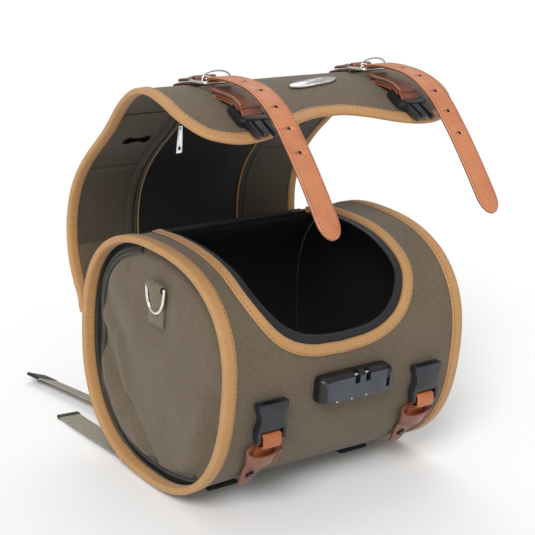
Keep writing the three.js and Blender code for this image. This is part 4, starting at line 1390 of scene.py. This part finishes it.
def make_lower(word, x):
    """Two stacked leather layers that end in a loop round the plug's bar."""
    def height(s):
        return 0.0106 + 0.0088 * smooth((s - 0.151) / 0.051, 0.1, 0.75) + LEATHER / 2

    plug = np.array([-0.140, CENTRE_Z + 0.005])
    upper = [skin(0, s, height(s) + 0.0002)[1:] for s in np.linspace(0.1535, 0.1975, 16)]
    turn = np.linspace(2.0, -2.55, 24)
    away = skin(0, 0.202, 0.02)[1:] - skin(0, 0.202, 0.01)[1:]
    away /= np.linalg.norm(away)
    down = np.array([away[1], -away[0]])
    if down[1] > 0:
        down = -down
    eye = [plug + 0.0049 * (down * math.cos(a) + away * math.sin(a)) for a in turn]
    lower = [skin(0, s, height(s) - 0.0028)[1:] for s in np.linspace(0.194, 0.164, 12)]
    route = resample(np.vstack([upper, eye, lower]), 130)
    band = leather_band("layer", route, np.full(130, 0.012), x, LEATHER * 0.92, LOOP_LEATHER,
                        place=front_place)
    inner = resample([skin(0, s, height(s) - 0.0056)[1:] for s in np.linspace(0.157, 0.188, 14)], 40)
    third = leather_band("layer_2", inner, np.full(40, 0.0115), x, LEATHER * 0.85, INNER_LEATHER,
                         place=front_place)
    dress(joined(f"lower_strap_{word}", [band, third]), "lid_front", "brown_leather", f"strap_lower_{word}")
    sewn = band_stitches(f"lower_strap_stitches_{word}", resample(upper, 40), np.full(40, 0.012), x, LEATHER,
                         (3, 38), place=front_place, both=True)
    dress(sewn, "lid_front", "brown_leather")


def arc_at(z):
    """Where the roll's front skin is at this height."""
    arcs = np.linspace(0.20, 0.33, 400)
    return float(arcs[np.argmin(np.abs(skin(0, arcs, 0)[:, 2] - z))])


BAR_Y, BAR_Z = -0.132, CENTRE_Z - 0.033
LOOP_RIVET_S = 0.290


def make_front_loop(side):
    """A strap riveted under the roll, turned over the buckle's bar, with a wide leather keeper round it."""
    word = SIDE_WORD[side]
    x = side * BUCKLE_X
    high, low = arc_at(0.0800), arc_at(0.0645)
    arcs = np.linspace(0.3065, high, 16)
    under = [skin(0, s, 0.0036 + 0.0032 * smooth(s, 0.284, 0.3065))[1:] for s in arcs]
    behind = [(BAR_Y + 0.0040, BAR_Z - 0.006), (BAR_Y + 0.0036, BAR_Z)]
    top = [(BAR_Y + 0.0032 * math.cos(a), BAR_Z + 0.0006 + 0.0034 * math.sin(a)) for a in (0.6, 1.2, 1.6)]
    route = spline(np.vstack([under, behind, top]), 150)
    run = run_along(route)
    tip = np.clip(1 - run / 0.009, 0, 1)
    taper = 0.0082 + 0.0042 * smooth(run, 0.006, 0.034) - 0.0016 * smooth(run, 0.044, 0.052)
    half = taper * np.sqrt(np.maximum(1 - tip ** 2.3, 0.02))
    back = leather_band(f"loop_{word}", route, half, x, 0.0030, LOOP_LEATHER)
    dress(back, "root", "brown_leather", f"front_loop_{word}")
    over = [(BAR_Y + 0.0032 * math.cos(a), BAR_Z + 0.0006 + 0.0034 * math.sin(a))
            for a in np.linspace(1.7, 3.0, 6)]
    down = [(BAR_Y - 0.0034, BAR_Z - 0.008), skin(0, high - 0.002, 0.0068)[1:],
            skin(0, high + 0.010, 0.0062)[1:]]
    front = leather_band(f"loop_front_{word}", spline(np.vstack([over, down]), 80), np.full(80, 0.0108), x,
                         0.0024, INNER_LEATHER)
    dress(front, "root", "brown_leather")
    dress(make_keeper(word, x, high, low), "root", "brown_leather")
    heads = [rivet("head", skin(x, LOOP_RIVET_S, 0.0048), skin(x, LOOP_RIVET_S, 0.0058), 0.0052, 0.0024,
                   BLACK_METAL),
             rivet("cap", skin(x, LOOP_RIVET_S, 0.0068), skin(x, LOOP_RIVET_S, 0.0078), 0.0037, 0.0014,
                   DARK_STEEL)]
    dress(joined(f"loop_rivet_{word}", heads), "root", "dark_steel", f"front_rivet_{word}")


def make_keeper(word, x, high, low):
    """A band wound once round the strap, its ends lapped at the right."""
    turn = np.linspace(-0.9, 2 * math.pi + 0.5, 84)
    grow = np.linspace(-0.0030, 0.0008, 84)
    wide, deep, thick = 0.0190, 0.0066, 0.0026
    shape = [(0.02, -1), (0.0, -0.5), (0.0, 0.5), (0.02, 1), (0.98, 1), (1.0, 0.5), (1.0, -0.5), (0.98, -1)]
    rings = []
    for a, g in zip(turn, grow):
        ring = []
        for k, b in shape:
            reach = g + b * thick / 2 + 0.0010 * (1 - k)
            narrow = 1 - 0.14 * k
            s = high + (low - high) * k + 0.0030 * math.sin(a) * (1 - k)
            ring.append(skin(x - 0.0012 + (wide * narrow + reach) * math.cos(a), s,
                             0.0084 + (deep + reach) * math.sin(a)))
        rings.append(ring)
    return tube(f"keeper_{word}", rings, LOOP_LEATHER, sharp=60)


# ---- hard pieces drawn from the CAD shapes ----
def from_cad(name, node, material, slot_name, width, segments=3, sharp=40):
    """The CAD node's shape with its edges rounded off."""
    bm = bmesh.new()
    bm.from_mesh(frame["nodes"][node].data)
    bmesh.ops.remove_doubles(bm, verts=bm.verts, dist=1e-6)
    bmesh.ops.dissolve_limit(bm, angle_limit=math.radians(1.5), verts=bm.verts, edges=bm.edges)
    mesh = bpy.data.meshes.new(name)
    bm.to_mesh(mesh)
    bm.free()
    mesh.materials.append(material)
    piece = bpy.data.objects.new(name, mesh)
    bpy.context.scene.collection.objects.link(piece)
    if width:
        rounded(piece, width, segments)
    tidy_normals(piece.data, sharp)
    return dress(piece, body_of(frame["nodes"][node])[0], slot_name, node)


def lock_pillow():
    """The lock's rounded outline: full behind, drawn in towards its flat face, most at left and top."""
    low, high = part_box("lock_housing")
    middle_x, middle_z = (low.x + high.x) / 2, (low.z + high.z) / 2
    rings = []
    for inset, y in ((0, high.y + 0.001), (0, low.y + 0.0078), (0.5, low.y + 0.0056), (1.8, low.y + 0.0030),
                     (3.6, low.y + 0.0009), (5.2, low.y + 0.0001)):
        ring = []
        for a in np.linspace(0, 2 * math.pi, 96, endpoint=False):
            c, d = math.cos(a), math.sin(a)
            squarer = 0.26
            left = inset * (1.25 if c < 0 else 0.45) * MM
            up = inset * (0.75 if d > 0 else 0.30) * MM
            half_x = (high.x - low.x) / 2 - 0.0016 - left
            half_z = (high.z - low.z) / 2 - 0.0012 - up
            ring.append((middle_x + half_x * math.copysign(abs(c) ** squarer, c), y,
                         middle_z - 0.0004 + half_z * math.copysign(abs(d) ** squarer, d)))
        rings.append(ring)
    return tube("pillow", rings, LOCK_EDGE)


def make_lock():
    housing = from_cad("lock_case", "lock_housing", LOCK_PLASTIC, "lock_plastic", 0)
    housing.data.materials.append(LOCK_EDGE)
    pillow = lock_pillow()
    finished(housing, ("BOOLEAN", {"operation": "INTERSECT", "object": pillow, "solver": "EXACT"}))
    bpy.data.objects.remove(pillow)
    rounded(housing, 0.0005, 2, angle=40)
    tidy_normals(housing.data, 30)
    face_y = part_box("lock_housing")[0].y + 0.0006
    for polygon in housing.data.polygons:
        front = polygon.normal.y < -0.93 and polygon.center.y < face_y
        polygon.material_index = 0 if front else 1
    from_cad("lock_back", "lock_base_plate", DARK_STEEL, "dark_steel", 0.0004)
    for k in (1, 2, 3):
        from_cad(f"lock_wheel_{k}", f"lock_dial_{k}", LOCK_EDGE, "black_plastic", 0.0005)
    from_cad("lock_knob", "lock_slider", LOCK_EDGE, "black_plastic", 0.0005)
    pins = []
    for x in (-0.0015, 0.012):
        bar = [(x + reach, -0.1365, CENTRE_Z + 0.0125) for reach in (-0.0029, 0.0029)]
        pins.append(wire("pin", resample(bar, 4), 0.0016, CHROME, sides=12))
    dress(joined("lock_shackle_bars", pins), "root", "chrome_wire")
    marks = []
    row = CENTRE_Z - 0.0095
    for x in (-0.026, -0.0075, 0.011):
        marks.append(rivet("mark", np.array([x, -0.1411, row]), np.array([x, -0.2, row]), 0.0008, 0.0004,
                           PALE_MARK))
    dress(joined("lock_index_marks", marks), "root", "lock_plastic")


PALE_MARK = moulded("pale_mark", srgb(214, 214, 208), srgb(196, 196, 190))


def make_badge():
    """The plaque, set a little aslant on the lid."""
    badge = from_cad("badge_bar", "badge", CHROME, "chrome_wire", 0.0006)
    points = np.array([v.co for v in badge.data.vertices])
    middle = points.mean(0)
    axes = np.linalg.svd(points - middle)[2]
    along = axes[0] * math.copysign(1, axes[0][0])
    normal = axes[2] * math.copysign(1, axes[2][2])
    moved = turned_about_line(points - middle, normal, math.radians(9)) + middle + along * 0.007
    for vertex, place in zip(badge.data.vertices, moved):
        vertex.co = place


def turned_about_line(points, axis, angle):
    c, s = math.cos(angle), math.sin(angle)
    return points * c + np.cross(axis, points) * s + np.outer(points @ axis, axis) * (1 - c)


def make_hardware():
    make_lock()
    make_badge()
    from_cad("underside_mat", "base_mat", RUBBER, "rubber_mat", 0.0008)
    from_cad("floor_board", "base_stiffener", BOARD, "board", 0.0008)
    for side in (-1, 1):
        word = SIDE_WORD[side]
        from_cad(f"plug_{word}", f"male_plug_{word}", PLASTIC, "black_plastic", 0.0008)
        from_cad(f"socket_{word}", f"female_buckle_{word}", PLASTIC, "black_plastic", 0.0010)
        from_cad(f"slider_tag_{word}", f"zip_pull_{word}", CHROME, "chrome_wire", 0.0004)
        strap = from_cad(f"under_strap_{word}", f"rack_strap_{word}", BLACK_TAPE, "black_webbing", 0.0006)
        flat = np.array([v.co for v in strap.data.vertices], np.float32)
        flat[:, 2] = 0
        strap.data.attributes.new("cloth", "FLOAT_VECTOR", "POINT").data.foreach_set("vector", flat.ravel())
        make_tails(side, word)


def make_tails(side, word):
    """Free ends of the rack straps, lying behind on the ground; the long one stands on its inner edge."""
    half = STRAP_HALF
    # name, x at both ends and bend between them, y at both ends, tilt, length of the dark end
    tails = (("long", 86, 118, -5, 51, 274, 0.36, 0.018), ("short", 128, 137, 3, 20, 171, 0.05, 0.005))
    for name, x0, x1, bend, y0, y1, tip, dark_length in tails:
        def place(u, v, t, x0=x0, x1=x1, bend=bend, y0=y0, y1=y1, tip=tip):
            y = (y0 + (y1 - y0) * u) * MM
            x = (x0 + (x1 - x0) * u + bend * np.sin(math.pi * u)) * MM
            tilt = tip * smooth(u, 0.05, 0.45)
            lift = 0.0012 + 0.0022 * np.sin(math.pi * u) ** 2 + half * np.sin(tilt)
            return np.stack(np.broadcast_arrays(side * x + v * np.cos(tilt) + t * np.sin(tilt), y,
                                                lift + t * np.cos(tilt) - v * np.sin(tilt)), axis=-1)

        across = np.array([-half, -half + 0.0006, -0.006, 0, 0.006, half - 0.0006, half])
        length = (y1 - y0) * MM

        def flat(u, v, length=length):
            return np.stack([v, u * length], -1)

        cloth = slab("cloth", place, np.linspace(0, 1, 90), across, -0.0009, 0.0009, WEBBING, cloth=flat)
        dark = np.linspace(1 - dark_length / length, 1.004, 6)
        end = slab("end", place, dark, across * 1.02, -0.0016, 0.0016, BLACK_TAPE, cloth=flat)
        dress(joined(f"rack_tail_cloth_{name}_{word}", [cloth, end]), "root", "webbing",
              f"rack_tail_{name}_{word}")


# ---- camera, light and floor ----
def turned_about(vector, axis, angle):
    return Matrix.Rotation(angle, 3, axis) @ vector


def make_camera():
    azimuth, elevation = math.radians(-39), math.radians(21.5)
    back = Vector((math.sin(azimuth) * math.cos(elevation), -math.cos(azimuth) * math.cos(elevation),
                   math.sin(elevation)))
    right = Vector((math.cos(azimuth), math.sin(azimuth), 0))
    up = back.cross(right)
    pan, tilt, roll = math.radians(0.315), math.radians(2.752), math.radians(4.2)
    back, right, up = (turned_about(v, Vector((0, 0, 1)), pan) for v in (back, right, up))
    back, up = (turned_about(v, right, tilt) for v in (back, up))
    right, up = (turned_about(v, back, roll) for v in (right, up))
    data = bpy.data.cameras.new("camera")
    data.lens = 100
    data.sensor_width = 36
    data.clip_end = 50
    camera = bpy.data.objects.new("camera", data)
    bpy.context.scene.collection.objects.link(camera)
    place = Matrix((right, up, back)).transposed().to_4x4()
    place.translation = Vector((-0.90146, -1.11322, 0.69025))
    camera.matrix_world = place
    bpy.context.scene.camera = camera


def make_stage():
    bpy.ops.mesh.primitive_plane_add(size=14, location=(0, 0, -0.0002))
    floor = bpy.context.object
    floor.name = "studio_floor"
    look = Look("studio_floor", 0.9)
    look.colour(look.mix(look.noise(look.in_space(), 3), (0.86, 0.86, 0.86, 1), (0.88, 0.88, 0.88, 1)))
    floor.data.materials.append(look.material)
    for name, place, angle, power in (("key", (-2.2, -1.7, 2.6), 26, 2.1),
                                      ("fill", (-1.8, -2.6, 0.7), 60, 0.65),
                                      ("rim", (0.9, 1.5, 2.4), 50, 0.8)):
        data = bpy.data.lights.new(name, "SUN")
        data.energy = power
        data.angle = math.radians(angle)
        lamp = bpy.data.objects.new(name, data)
        bpy.context.scene.collection.objects.link(lamp)
        lamp.location = place
        lamp.rotation_euler = (-Vector(place)).to_track_quat("-Z", "Y").to_euler()
    world = bpy.data.worlds.new("studio")
    world.use_nodes = True
    world.node_tree.nodes["Background"].inputs["Color"].default_value = (1, 1, 1, 1)
    world.node_tree.nodes["Background"].inputs["Strength"].default_value = 0.47
    bpy.context.scene.world = world
    bpy.context.scene.view_settings.view_transform = "Standard"


make_roll()
for end in (-1, 1):
    make_end(end)
    make_strap(end)
    make_front_loop(end)
make_lid()
make_hardware()
make_camera()
make_stage()
